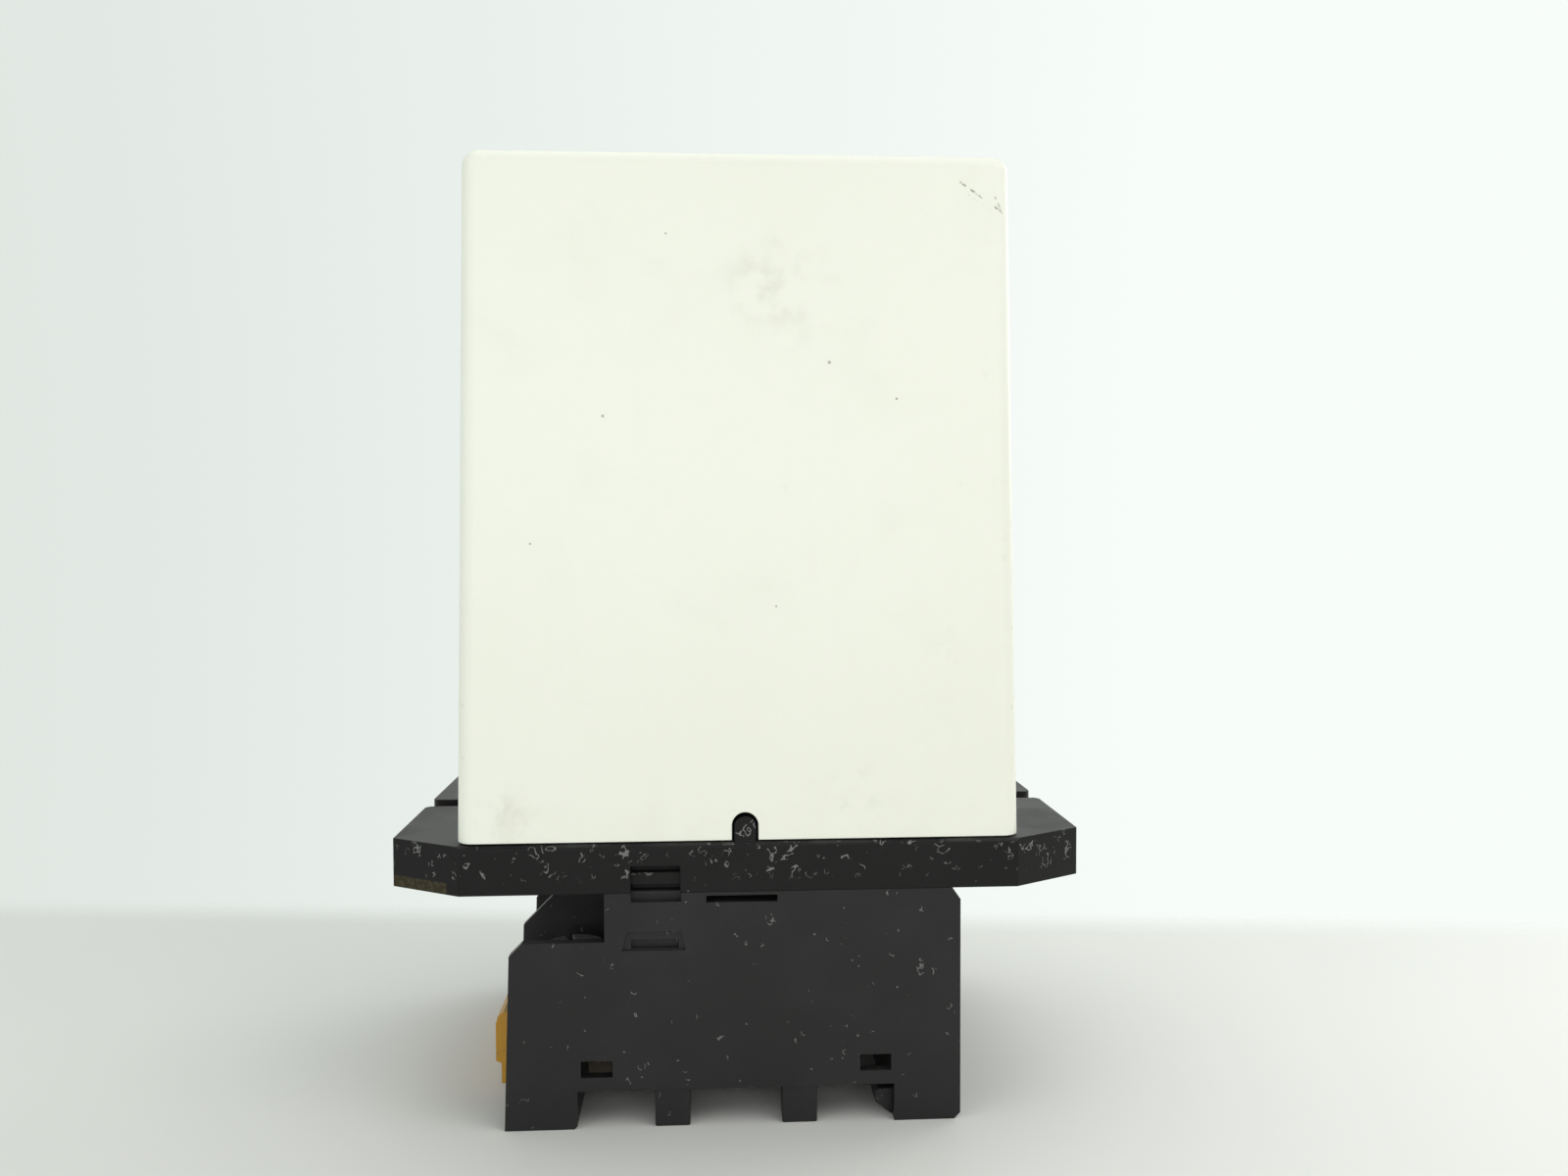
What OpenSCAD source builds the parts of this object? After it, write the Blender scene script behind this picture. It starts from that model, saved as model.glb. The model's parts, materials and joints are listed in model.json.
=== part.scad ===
// Plug-in protective relay in an eight-terminal rail socket.
// Millimetres. X runs across the rail, Y along it, Z up through the plug.
// The origin is on the surface under the socket's feet, at the middle of the case.

/* [Socket] */
// Left end of the socket, where the rail slider is
socket_left = -26.3; // [-26.6:0.1:-26.1]
// Right end of the socket
socket_right = 24.6; // [24.2:0.1:25]
// Depth of the socket along the rail
socket_d = 50; // [50:0.1:51]
// Height of the socket, from its feet to the seat of the relay
socket_h = 26.3; // [26:0.1:27]
// Thickness of the socket's front and back walls
socket_wall = 1.5; // [1.3:0.1:1.6]
// Thickness of the barriers between terminals
barrier_t = 1.2; // [1:0.1:1.4]
// Distance from one terminal to the next
terminal_pitch = 12.1; // [12:0.05:12.2]
// Height of the deck that the terminals lie on
deck_z = 14.8; // [14.7:0.1:15]
// Height at which the left end starts to slope
slope_z = 19.5; // [19:0.1:19.7]
// Lean of the left end over the height below its slope
socket_draft = 0.6; // [0:0.1:0.7]
// Place of the left row of terminal screws
screw_left_x = -19; // [-19.2:0.1:-18.8]
// Place of the right row of terminal screws
screw_right_x = 16.5; // [16.3:0.1:16.7]

/* [Rail seat] */
// Left side of the recess for the 35 mm rail
rail_left = -18.3; // [-18.4:0.05:-18.2]
// Width of the recess for the 35 mm rail
rail_w = 35.4; // [35.3:0.05:35.5]
// Height of the recess for the rail
rail_h = 4.2; // [4.1:0.05:4.3]
// Reach of the fixed hook under the rail's edge
hook_reach = 1.9; // [1.7:0.1:2]
// Height of the rail hooks' upper faces
hook_z = 3; // [2.9:0.05:3.05]
// Distance of the hooks behind the socket's front and back faces
hook_set = 1.6; // [1.4:0.1:2]

/* [Rail slider] */
// Width of the slider's tongue
slider_w = 20; // [19:0.5:20.5]
// Width of the slider's handle
handle_w = 31; // [28:0.5:32]
// Left face of the slider's handle
slider_left = -28.7; // [-28.9:0.1:-28.5]
// Height of the top of the slider's handle
slider_top = 10; // [9.6:0.1:10.4]
// Travel of the slider when it is pulled
slider_travel = 2.5; // [2.3:0.1:2.5]

/* [Relay base] */
// Width of the flange over its ears
flange_w = 78.5; // [78:0.5:80]
// Depth of the flange
flange_d = 50; // [49.8:0.1:50.4]
// Thickness of the flange
flange_t = 5.5; // [5.3:0.1:5.7]
// Half width at which the flange's corners are cut
flange_cut_x = 31.1; // [31:0.1:31.4]
// Half depth at which the flange's corner cuts end
flange_cut_y = 19.9; // [19.5:0.1:20.2]
// Width of the screw slots in the ears
ear_slot_w = 4.2; // [4:0.1:4.4]
// Distance between the round ends of the two ear slots
ear_pitch = 69.6; // [69:0.2:70]

/* [Case] */
// Width of the case at its foot
case_w = 62.8; // [62.2:0.1:63]
// Depth of the case at its foot
case_d = 49.4; // [49:0.1:49.6]
// Height of the case's top above the feet
case_top = 108.3; // [107.9:0.1:108.7]
// Slope of each side of the case over its height
case_draft = 1.05; // [0.5:0.05:1.2]
// Radius of the case's edges
case_r = 1.9; // [1.5:0.1:2.2]
// Thickness of the case's walls
case_wall = 2; // [1.8:0.1:2]

/* [Plug blades] */
// Width of each blade
blade_w = 6.3; // [6:0.1:6.4]
// Thickness of each blade
blade_t = 0.8; // [0.7:0.05:0.8]
// Length of the blades below the base
blade_l = 14; // [13:0.5:14]
// Place of the left column of blades
blade_left_x = -7.5; // [-7.6:0.1:-7.4]
// Place of the right column of blades
blade_right_x = 5; // [4.9:0.1:5.1]

/* [Controls] */
// Distance of each dial from the middle
dial_x = 13; // [12.5:0.1:13]
// Place of the dials from front to back
dial_y = 4.5; // [4:0.1:5]
// Diameter of the dials
dial_dia = 11.4; // [11:0.1:11.6]
// Height of the dials above the case's top
dial_rise = 2.2; // [2:0.1:2.4]
// Place of the row of buttons, levers and lamps
row_y = -13; // [-13.2:0.1:-12.8]
// Diameter of the push buttons
button_dia = 5; // [4.8:0.1:5.2]
// Height of the buttons above the case's top
button_rise = 1; // [0.8:0.1:1.2]
// Travel of the buttons
button_travel = 1; // [0.8:0.1:1]
// Travel of the mode levers
lever_travel = 2; // [1.6:0.1:2]
// Diameter of the lamps
lamp_dia = 3; // [2.8:0.1:3]

/* [Hidden] */

$fn = 48;
eps = 0.01;
SIDES = [-1, 1];
ROWS = [-1.5, -0.5, 0.5, 1.5];
COLUMNS = [-1, 1];

// Colours
BLACK = [0.14, 0.14, 0.15];
IVORY = [0.92, 0.92, 0.88];
YELLOW = [0.93, 0.72, 0.08];
STEEL = [0.72, 0.73, 0.74];
BRASS = [0.78, 0.62, 0.32];
COPPER = [0.72, 0.40, 0.22];
BOARD = [0.12, 0.36, 0.22];
GREY = [0.35, 0.36, 0.38];

// Socket
socket_mid = (socket_left + socket_right) / 2;
cell_w = terminal_pitch - barrier_t;
seat_z = socket_h;
top_deck_t = 2;
inner_left = -14.5;
inner_right = 11.5;
inner_wall = 1.5;
chamber_gap = 1.2;
cover_t = 1.5;
cover_lip = 0.8;
strip_t = 0.8;
strip_w = 7;
strip_reach = 4.5;
window_z = 5.75;
window_h = 1.85;
window_left = -17.9;
window_right = 13.25;
window_w = 3.5;
core_out_y = -10.6;
side_window_x = -15.2;
side_window_z = 20.9;
pocket_left = -12.4;
pocket_z = 19.9;
pocket_w = 5.8;
tab_left = -9.7;
tab_right = 4.5;
tab_w = 3.9;
tab_d = 3.5;
tab_y = socket_d / 2 - 0.2;
shank_r = 1.72;
shank_l = 6.3;
screw_head_r = 3.25;
screw_head_h = 2.4;
washer_t = 0.9;
washer_w = 7.4;
clamp_z = deck_z + strip_t;
head_z = clamp_z + washer_t;

// Rail slider
tongue_z = 1.5;
lip_z = 4.2;
cavity_left = socket_left + socket_wall;
cavity_right = -19.2;
cavity_top = 8.6;
cavity_d = 19.2;
crosshead_x = -20.6;
crosshead_t = 1.2;
spring_z = 5.8;

// Relay base and case
flange_top = seat_z + flange_t;
plate_t = 3;
plinth_top = flange_top + 5;
plinth_w = case_w - 2 * case_wall - 0.7;
plinth_d = case_d - 2 * case_wall - 0.8;
plinth_wall = 2;
case_gap = 0.2;
case_foot = flange_top + case_gap;
case_skin = 2.2;
plate_sink = 1.2;
plate_w = 50;
plate_d = 38;
face_t = 1;
face_z = case_top - plate_sink;
skin_z = case_top - case_skin;
key_x = 0.45;
key_w = 2.4;
key_h = 2.85;
key_notch_w = 2.95;
key_notch_h = 3.3;

// Contact clips
clip_w = 7.2;
clip_t = 0.4;
clip_gap = 0.05;

// Boards
board_t = 1.6;
solder_w = 2.4;
base_board_z = seat_z + plate_t + 2.2;
base_board_top = base_board_z + board_t;
base_board_w = 52.4;
base_board_d = 40.2;
boss_x = 23;
boss_y = 17;
logic_y = 17.8;
control_z = 96.4;
control_top = control_z + board_t;
pot_h = 6.5;
tact_h = 3.5;
shaft_r = 2.95;
shaft_hole_r = 3.3;
test_x = -19;
reset_x = -8;
lever_x = 3.5;
lever_gap = 4.5;
lever_w = 1.6;
power_x = 14.5;
trip_x = 20.5;
hole_gap = 0.2;

stem_z = control_top + tact_h + 0.4 + button_travel;
collar_z = skin_z - 1.1;

// Transformer
core_x = -10;
core_w = 30;
core_h = 25;
core_d = 14;
core_leg = 4.5;
core_mid = 8;
core_yoke = 4;
core_z = base_board_top + 1.4;
winding_y = 13;

// Output relay
coil_r = 5.3;
coil_x = 12.9;
coil_y = 10;
hinge_x = 20.2;
roll_r = 0.6;
relay_floor = base_board_top + 2.5;
yoke_t = 1.5;
pole_z = relay_floor + 16.5;
hinge_z = pole_z + 0.45;
arm_bottom = relay_floor + 4;

// A box from its lowest corner to its highest corner
module block(a, b) {
    translate(a) cube([b[0] - a[0], b[1] - a[1], b[2] - a[2]]);
}

// A polygon in X and Z, carried along Y from y0 to y1
module prism_y(points, y0, y1) {
    translate([0, y1, 0]) rotate([90, 0, 0]) linear_extrude(y1 - y0) polygon(points);
}

// A polygon in Y and Z, carried along X from x0 to x1
module prism_x(points, x0, x1) {
    translate([x0, 0, 0]) rotate([90, 0, 90]) linear_extrude(x1 - x0) polygon(points);
}

// Every terminal's place along the rail
module at_rows() {
    for (row = ROWS) translate([0, row * terminal_pitch, 0]) children();
}

// Points of a coil of wire about Z: coil radius, length between wire centres, turns
function coil_point(r, l, turns, t) = [
    r * cos(360 * turns * t),
    r * sin(360 * turns * t),
    l * (t < 0.12 ? 0.3 * t : t > 0.88 ? 1 - 0.3 * (1 - t) : 0.036 + 0.928 * (t - 0.12) / 0.76)];

// A coil spring standing on z = 0, with closed ends, as one swept tube
module coil_spring(r, wire, height, turns, steps = 14, sides = 6) {
    rings = turns * steps;
    span = height - wire;
    points = [for (i = [0:rings]) let (c = coil_point(r, span, turns, i / rings),
        a = 360 * turns * i / rings) for (j = [0:sides - 1]) let (b = 360 * j / sides)
        [c[0] + wire / 2 * cos(b) * cos(a), c[1] + wire / 2 * cos(b) * sin(a),
        c[2] + wire / 2 + wire / 2 * sin(b)]];
    walls = [for (i = [0:rings - 1], j = [0:sides - 1]) let (k = (j + 1) % sides)
        [i * sides + j, (i + 1) * sides + j, (i + 1) * sides + k, i * sides + k]];
    first = [for (j = [0:sides - 1]) j];
    last = [for (j = [sides - 1:-1:0]) rings * sides + j];
    polyhedron(points, concat(walls, [first, last]), convexity = 10);
}

/* ---- Socket ---- */

module socket_profile() {
    polygon([
        [socket_left, 0], [rail_left - 0.35, 0], [rail_left, 0.35], [rail_left, rail_h],
        [rail_left + rail_w, rail_h], [rail_left + rail_w, 0], [socket_right - 0.7, 0],
        [socket_right, 0.7], [socket_right, socket_h - 1.3], [socket_right - 0.9, socket_h],
        [socket_left + socket_draft + socket_h - slope_z, socket_h],
        [socket_left + socket_draft, slope_z]]);
}

// The fixed hook under the rail's right edge, at one end of the socket
module rail_hook(y0, y1) {
    x = rail_left + rail_w;
    prism_y([[x + 1, hook_z], [x - hook_reach + 0.3, hook_z], [x - hook_reach, hook_z - 0.25],
        [x - hook_reach, 1.45], [x - 0.2, 0.15], [x + 1, 0.15]], y0, y1);
}

// The chambers that hold the contact clips, open below
module contact_chambers() {
    left = inner_left + inner_wall;
    right = inner_right - inner_wall;
    z0 = rail_h - 1;
    z1 = socket_h - top_deck_t;
    at_rows() {
        block([left, -cell_w / 2, z0], [socket_mid - chamber_gap / 2, cell_w / 2, z1]);
        block([socket_mid + chamber_gap / 2, -cell_w / 2, z0], [right, cell_w / 2, z1]);
    }
    block([left - cover_lip, 1 - socket_d / 2, z0], [right + cover_lip, socket_d / 2 - 1, rail_h + cover_t]);
}

// Terminal compartments, open at the top and at the socket's ends
module terminal_bays() {
    at_rows() {
        block([socket_left - 1, -cell_w / 2, deck_z], [inner_left, cell_w / 2, socket_h + 1]);
        block([inner_right, -cell_w / 2, deck_z], [socket_right + 1, cell_w / 2, socket_h + 1]);
        // Slots that the strips pass through
        block([inner_left - 1, -strip_w / 2 - 0.1, deck_z],
            [inner_right + 1, strip_w / 2 + 0.1, deck_z + strip_t + 0.1]);
        for (x = [screw_left_x, screw_right_x])
            translate([x, 0, deck_z - shank_l]) cylinder(h = shank_l + 1, r = shank_r + 0.2);
        for (x = [blade_left_x, blade_right_x])
            block([x - blade_w / 2 - 0.5, -0.9, socket_h - top_deck_t - 1],
                [x + blade_w / 2 + 0.5, 0.9, socket_h + 1]);
    }
}

// The clip pocket and pry notch in one long side, drawn for the front
module side_pockets() {
    face = -socket_d / 2;
    right = pocket_left + pocket_w;
    prism_y([[pocket_left - 0.9, pocket_z], [right + 0.35, pocket_z], [right - 0.1, pocket_z + 2.1],
        [pocket_left - 0.3, pocket_z + 2.1]], face - 1, face + 0.35);
    block([pocket_left + 0.15, face - 1, pocket_z + 0.15], [right - 0.4, face + 1, pocket_z + 1.15]);
    block([-3.9, face - 1, socket_h - 1.15], [4, face + 4, socket_h - 0.4]);
    block([pocket_left + 0.15, face - 1, socket_h - 1], [right - 0.1, face + 1, socket_h + 1]);
    block([socket_left - 1, face - 1, side_window_z],
        [side_window_x, face + socket_wall + 0.1, socket_h + 1]);
}

// Room for the slider: its tongue's groove, its spring chamber and the open underside
module slider_room() {
    w = slider_w / 2;
    block([socket_left - 1, -w - 0.8, tongue_z - 0.1], [rail_left + 1, w + 0.8, hook_z + 0.1]);
    block([socket_left - 1, -w - 0.3, -1], [rail_left + 1, w + 0.3, tongue_z]);
    block([cavity_left, -cavity_d / 2, hook_z], [cavity_right, cavity_d / 2, cavity_top]);
}

module socket_housing() {
    color(BLACK) {
        difference() {
            union() {
                translate([0, socket_d / 2, 0]) rotate([90, 0, 0]) linear_extrude(socket_d) socket_profile();
                for (m = [0, 1]) mirror([0, m, 0]) rail_hook(hook_set - socket_d / 2, 6.5 - socket_d / 2);
            }
            contact_chambers();
            terminal_bays();
            for (x = [window_left, window_right])
                block([x, -socket_d, window_z], [x + window_w, socket_d, window_z + window_h]);
            // Core-outs above the rail's edges, which let light into the windows
            for (x = [window_left, window_right], m = [0, 1]) mirror([0, m, 0])
                block([x, socket_wall - socket_d / 2, rail_h - 1], [x + window_w, core_out_y, window_z + 1]);
            side_pockets();
            mirror([0, 1, 0]) side_pockets();
            slider_room();
        }
    }
}

module socket_bottom_cover() {
    left = inner_left + inner_wall - cover_lip + 0.1;
    right = inner_right - inner_wall + cover_lip - 0.1;
    color(BLACK) {
        block([left, 1.1 - socket_d / 2, rail_h], [right, socket_d / 2 - 1.1, rail_h + cover_t]);
        for (m = [0, 1], x = [tab_left, tab_right]) mirror([0, m, 0])
            union() {
                block([x, tab_y - tab_d, 0], [x + tab_w, tab_y, rail_h]);
                block([x, tab_y - tab_d, 1], [x + tab_w, tab_y - 1, rail_h + 0.5]);
            }
    }
}

module din_slider() {
    w = slider_w / 2;
    z0 = tongue_z;
    color(YELLOW) {
        difference() {
            union() {
                // Handle and its lip
                prism_y([[slider_left, lip_z], [slider_left + 0.65, lip_z - 0.3], [slider_left + 0.65, z0],
                    [socket_left - 0.2, z0], [socket_left - 0.2, slider_top], [slider_left + 0.9, slider_top],
                    [slider_left + 0.25, slider_top - 0.5], [slider_left, slider_top - 1.4]],
                    -handle_w / 2, handle_w / 2);
                block([slider_left + 0.9, -w, z0], [socket_left + 0.6, w, hook_z]);
                // Tongue with its hook tip
                prism_y([[socket_left, z0], [rail_left, z0], [rail_left + 1.5, hook_z - 0.7],
                    [rail_left + 2, hook_z - 0.4], [rail_left + 2, hook_z], [socket_left, hook_z]],
                    0.5 - w, w - 0.5);
                // Wings that run in the grooves
                block([socket_left + 0.8, -w - 0.65, z0 + 0.05], [rail_left - 0.2, w + 0.65, hook_z - 0.05]);
                // Crosshead that the springs push on
                block([crosshead_x, 1 - w, z0 + 0.5], [crosshead_x + crosshead_t, w - 1, cavity_top - 0.3]);
            }
            // Screwdriver slot in the lip
            block([slider_left - 1, -3, -1], [slider_left + 1.6, 3, hook_z + 1.2]);
        }
    }
}

module slider_springs() {
    l = crosshead_x - cavity_left;
    color(STEEL) for (s = SIDES)
        translate([cavity_left, s * 5, spring_z]) rotate([0, 90, 0]) coil_spring(1.7, 0.45, l, 4);
}

// A pan-head screw standing with its head's underside on z = 0
module terminal_screw() {
    difference() {
        union() {
            translate([0, 0, -shank_l + 1]) cylinder(h = shank_l - 0.5, r = shank_r);
            cylinder(h = screw_head_h, r = screw_head_r);
        }
        for (a = [0, 90]) rotate([0, 0, a + 20])
            translate([-screw_head_r, -0.45, screw_head_h - 1.3]) cube([2 * screw_head_r, 0.9, 2]);
    }
}

module terminal_screws_left() {
    color(STEEL) at_rows() translate([screw_left_x, 0, head_z]) terminal_screw();
}

module terminal_screws_right() {
    color(STEEL) at_rows() translate([screw_right_x, 0, head_z]) terminal_screw();
}

// A square clamping washer with turned-up sides
module clamp_washer() {
    w = washer_w / 2;
    difference() {
        union() {
            block([-w, -w, 0], [w, w, washer_t]);
            for (s = SIDES) block([-w, s * w - 0.35, 0], [w, s * w + 0.35, washer_t + 0.9]);
        }
        translate([0, 0, -1]) cylinder(h = 4, r = shank_r + 0.06);
    }
}

module clamp_washers_left() {
    color(STEEL) at_rows() translate([screw_left_x, 0, clamp_z]) clamp_washer();
}

module clamp_washers_right() {
    color(STEEL) at_rows() translate([screw_right_x, 0, clamp_z]) clamp_washer();
}

// One flat strip from a terminal to its contact clip
module strip(screw_x, clip_edge, outward) {
    end = screw_x + outward * strip_reach;
    w = strip_w / 2;
    difference() {
        block([min(end, clip_edge), -w, deck_z], [max(end, clip_edge), w, deck_z + strip_t]);
        translate([screw_x, 0, deck_z - 1]) cylinder(h = 3, r = shank_r + 0.06);
    }
}

module terminal_strips() {
    color(BRASS) at_rows() {
        strip(screw_left_x, blade_left_x - clip_w / 2, -1);
        strip(screw_right_x, blade_right_x + clip_w / 2, 1);
    }
}

// A fork contact: two leaves with flared lips that grip a blade from both sides
module contact_clip() {
    inner = blade_t / 2 + clip_gap;
    outer = inner + clip_t;
    top = socket_h - top_deck_t - 0.8;
    for (m = [0, 1]) mirror([0, m, 0])
        prism_x([[0, 8], [outer, 8], [outer, top - 1.2], [outer + 1.2, top], [outer + 0.7, top + 0.2],
            [inner, top - 0.9], [inner, 8.4], [0, 8.4]], -clip_w / 2, clip_w / 2);
}

module contact_clips() {
    color(BRASS) at_rows() for (x = [blade_left_x, blade_right_x]) translate([x, 0, 0]) contact_clip();
}

/* ---- Relay base ---- */

module flange_outline() {
    x = flange_w / 2;
    y = flange_d / 2;
    difference() {
        polygon([[-flange_cut_x, -y], [flange_cut_x, -y], [x, -flange_cut_y], [x, flange_cut_y],
            [flange_cut_x, y], [-flange_cut_x, y], [-x, flange_cut_y], [-x, -flange_cut_y]]);
        for (m = [0, 1]) mirror([m, 0, 0]) {
            translate([ear_pitch / 2, 0]) circle(r = ear_slot_w / 2);
            translate([ear_pitch / 2, -ear_slot_w / 2]) square([x, ear_slot_w]);
            // Rounded mouth
            for (m = [0, 1]) mirror([0, m, 0]) translate([x, ear_slot_w / 2 - 0.1])
                polygon([[-0.8, 0], [1, 0], [1, 1.5], [0, 0.9], [-0.25, 0.4]]);
        }
    }
}

// The notch and bar that the hold-down clip engages, on one long side
module clip_notch() {
    y = flange_d / 2;
    difference() {
        block([pocket_left + 0.15, -y - 1, seat_z - 1], [pocket_left + pocket_w - 0.2, 2 - y, seat_z + 3]);
        block([pocket_left - 1, 1 - y, seat_z + 0.7], [pocket_left + pocket_w + 1, 4 - y, seat_z + 2.1]);
    }
}

// A narrow bevel along the top edge of one long side
module flange_bevel() {
    y = -flange_d / 2;
    prism_x([[y - 1, flange_top - 0.35], [y, flange_top - 0.35], [y + 0.35, flange_top],
        [y + 0.35, flange_top + 1], [y - 1, flange_top + 1]], -flange_w, flange_w);
}

// The round-topped key that enters the notch in the case
module case_key() {
    y0 = 0.15 - flange_d / 2;
    y1 = 0.5 - plinth_d / 2;
    z1 = flange_top + key_h - key_w / 2;
    block([key_x - key_w / 2, y0, flange_top - 1], [key_x + key_w / 2, y1, z1]);
    translate([key_x, y1, z1]) rotate([90, 0, 0]) cylinder(h = y1 - y0, r = key_w / 2);
}

module relay_base() {
    color(BLACK) difference() {
        union() {
            difference() {
                translate([0, 0, seat_z]) linear_extrude(flange_t) flange_outline();
                flange_bevel();
                mirror([0, 1, 0]) flange_bevel();
            }
            block([-plinth_w / 2, -plinth_d / 2, flange_top - 1], [plinth_w / 2, plinth_d / 2, plinth_top]);
            case_key();
            mirror([0, 1, 0]) case_key();
        }
        difference() {
            block([plinth_wall - plinth_w / 2, plinth_wall - plinth_d / 2, seat_z + plate_t],
                [plinth_w / 2 - plinth_wall, plinth_d / 2 - plinth_wall, plinth_top + 1]);
            for (x = SIDES, y = SIDES) translate([x * boss_x, y * boss_y, seat_z])
                cylinder(h = base_board_z - seat_z, r = 2.8);
        }
        for (x = SIDES, y = SIDES) translate([x * boss_x, y * boss_y, base_board_z - 4])
            cylinder(h = 5, r = 1.12);
        at_rows() for (x = [blade_left_x, blade_right_x])
            block([x - blade_w / 2 - 0.02, -blade_t / 2 - 0.02, seat_z - 1],
                [x + blade_w / 2 + 0.02, blade_t / 2 + 0.02, seat_z + plate_t + 1]);
        clip_notch();
        mirror([0, 1, 0]) clip_notch();
    }
}

module plug_blades() {
    z0 = seat_z - blade_l;
    z1 = base_board_top + 1;
    w = blade_w / 2;
    tail = solder_w / 2;
    shoulder = seat_z + plate_t;
    color(STEEL) at_rows() for (x = [blade_left_x, blade_right_x]) translate([x, 0, 0])
        prism_y([[1 - w, z0], [w - 1, z0], [w, z0 + 1.6], [w, shoulder], [tail, shoulder],
            [tail, z1], [-tail, z1], [-tail, shoulder], [-w, shoulder], [-w, z0 + 1.6]],
            -blade_t / 2, blade_t / 2);
}

/* ---- Base board and its parts ---- */

module base_board() {
    z0 = base_board_z;
    color(BOARD) difference() {
        translate([0, 0, z0 + board_t / 2]) cube([base_board_w, base_board_d, board_t], center = true);
        at_rows() for (x = [blade_left_x, blade_right_x]) translate([x, 0, z0])
            cube([solder_w + 0.1, blade_t + 0.1, 4], center = true);
        for (x = SIDES, y = SIDES) translate([x * boss_x, y * boss_y, z0 - 1]) cylinder(h = 4, r = 1.3);
    }
}

module base_board_screws() {
    color(STEEL) for (x = SIDES, y = SIDES) translate([x * boss_x, y * boss_y, base_board_top]) difference() {
        union() {
            translate([0, 0, -5]) cylinder(h = 5.5, r = 1.06);
            cylinder(h = 1.5, r = 2.2);
        }
        for (a = [0, 90]) rotate([0, 0, a]) translate([-1.4, -0.3, 0.7]) cube([2.8, 0.6, 1]);
    }
}

// Laminated core with two windows
module transformer_core() {
    w = core_w / 2;
    color(GREY) translate([core_x, 0, core_z]) difference() {
        block([-w, -core_d / 2, 0], [w, core_d / 2, core_h]);
        for (m = [0, 1]) mirror([m, 0, 0])
            block([core_mid / 2, -core_d, core_yoke], [w - core_leg, core_d, core_h - core_yoke]);
    }
}

// The middle leg's outline, a little larger all round
module core_post(gap, height) {
    translate([0, 0, height / 2]) cube([core_mid + 2 * gap, core_d + 2 * gap, height], center = true);
}

module transformer_bobbin() {
    z0 = core_yoke + 0.1;
    z1 = core_h - core_yoke - 0.1;
    color(BLACK) translate([core_x, 0, core_z]) difference() {
        union() {
            for (z = [z0, z1 - 1]) translate([0, 0, z + 0.5])
                cube([core_w - 2 * core_leg - 0.4, 2 * winding_y + 2, 1], center = true);
            translate([0, 0, z0]) core_post(0.8, z1 - z0);
            // Feet that hold the core off the board
            for (x = SIDES, y = SIDES) block([8 * x - 1.5, 11.5 * y - 1.5, base_board_top - core_z],
                [8 * x + 1.5, 11.5 * y + 1.5, z0 + 0.5]);
        }
        core_post(0.1, core_h);
    }
}

module transformer_winding() {
    h = core_h - 2 * core_yoke - 2.3;
    color(COPPER) translate([core_x, 0, core_z]) difference() {
        translate([0, 0, core_h / 2]) cube([core_w - 2 * core_leg - 1.6, 2 * winding_y, h], center = true);
        core_post(0.85, core_h);
    }
}

module smoothing_capacitors() {
    color(GREY) for (x = [8.5, 18]) translate([x, -12.3, base_board_top]) difference() {
        cylinder(h = 16, r = 4.5);
        translate([0, 0, 2.4]) rotate_extrude() translate([4.9, 0]) circle(r = 0.7);
        for (a = [0, 60, 120]) rotate([0, 0, a]) translate([-3.4, -0.15, 15.8]) cube([6.8, 0.3, 1]);
    }
}

module film_capacitor() {
    color([0.55, 0.12, 0.10]) translate([-15, -17.2, base_board_top + 5.5]) difference() {
        cube([10.5, 5, 11], center = true);
        for (x = SIDES, y = SIDES) translate([5.25 * x, 2.5 * y, 0]) rotate([0, 0, 45])
            cube([0.6, 0.6, 12], center = true);
    }
}

module varistor() {
    color([0.16, 0.34, 0.62]) translate([-2, -17, base_board_top + 6]) {
        rotate([90, 0, 0]) cylinder(h = 3.4, r = 4.6, center = true);
        for (s = SIDES) translate([s * 2.5, 0, -6]) cylinder(h = 3, r = 0.4);
    }
}

module rectifier_diodes() {
    color(BLACK) for (i = [0:3]) translate([8.5 + 3.6 * i, -3, base_board_top + 1.6]) rotate([90, 0, 0]) {
        cylinder(h = 5, r = 1.35, center = true);
        cylinder(h = 8, r = 0.4, center = true);
        for (s = SIDES) translate([0, 0, s * 3.7]) rotate([90, 0, 0]) cylinder(h = 3.2, r = 0.4, center = true);
    }
}

module voltage_regulator() {
    color(GREY) translate([23.4, -2.6, base_board_top + 4]) {
        block([-2.2, -4.9, 0], [2.2, 4.9, 9]);
        block([0.9, -4.9, 9], [2.2, 4.9, 15]);
        for (y = [-2.5, 0, 2.5]) block([-0.4, y - 0.4, -4], [0.4, y + 0.4, 0.1]);
    }
}

/* ---- Output relay on the base board ---- */

module output_relay_base() {
    color(BLACK) difference() {
        block([7, 2.6, base_board_top], [25.4, 16.6, relay_floor]);
        // Room for the board's screw
        block([20.6, 14.6, base_board_top - 1], [26, 17, relay_floor + 1]);
    }
}

module output_relay_yoke() {
    color(STEEL) {
        block([9, 5.5, relay_floor], [hinge_x, 14.5, relay_floor + yoke_t]);
        difference() {
            block([hinge_x - 1.2, 5.5, relay_floor], [hinge_x, 14.5, hinge_z - 0.15]);
            // The groove that the armature's roll turns in
            translate([hinge_x, 15, hinge_z]) rotate([90, 0, 0]) cylinder(h = 10, r = roll_r + 0.05);
        }
        block([hinge_x - 1.2, 3.4, relay_floor + 6], [22.8, 5.6, relay_floor + 7.2]);
        block([hinge_x - 1.2, 3.4, relay_floor + 6], [hinge_x, 6.5, relay_floor + 7.2]);
    }
}

module output_relay_core() {
    color(STEEL) translate([coil_x, coil_y, relay_floor + yoke_t]) {
        cylinder(h = pole_z - relay_floor - yoke_t - 0.5, r = 2.2);
        translate([0, 0, pole_z - relay_floor - yoke_t - 1]) cylinder(h = 1, r = 3.4);
    }
}

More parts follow.
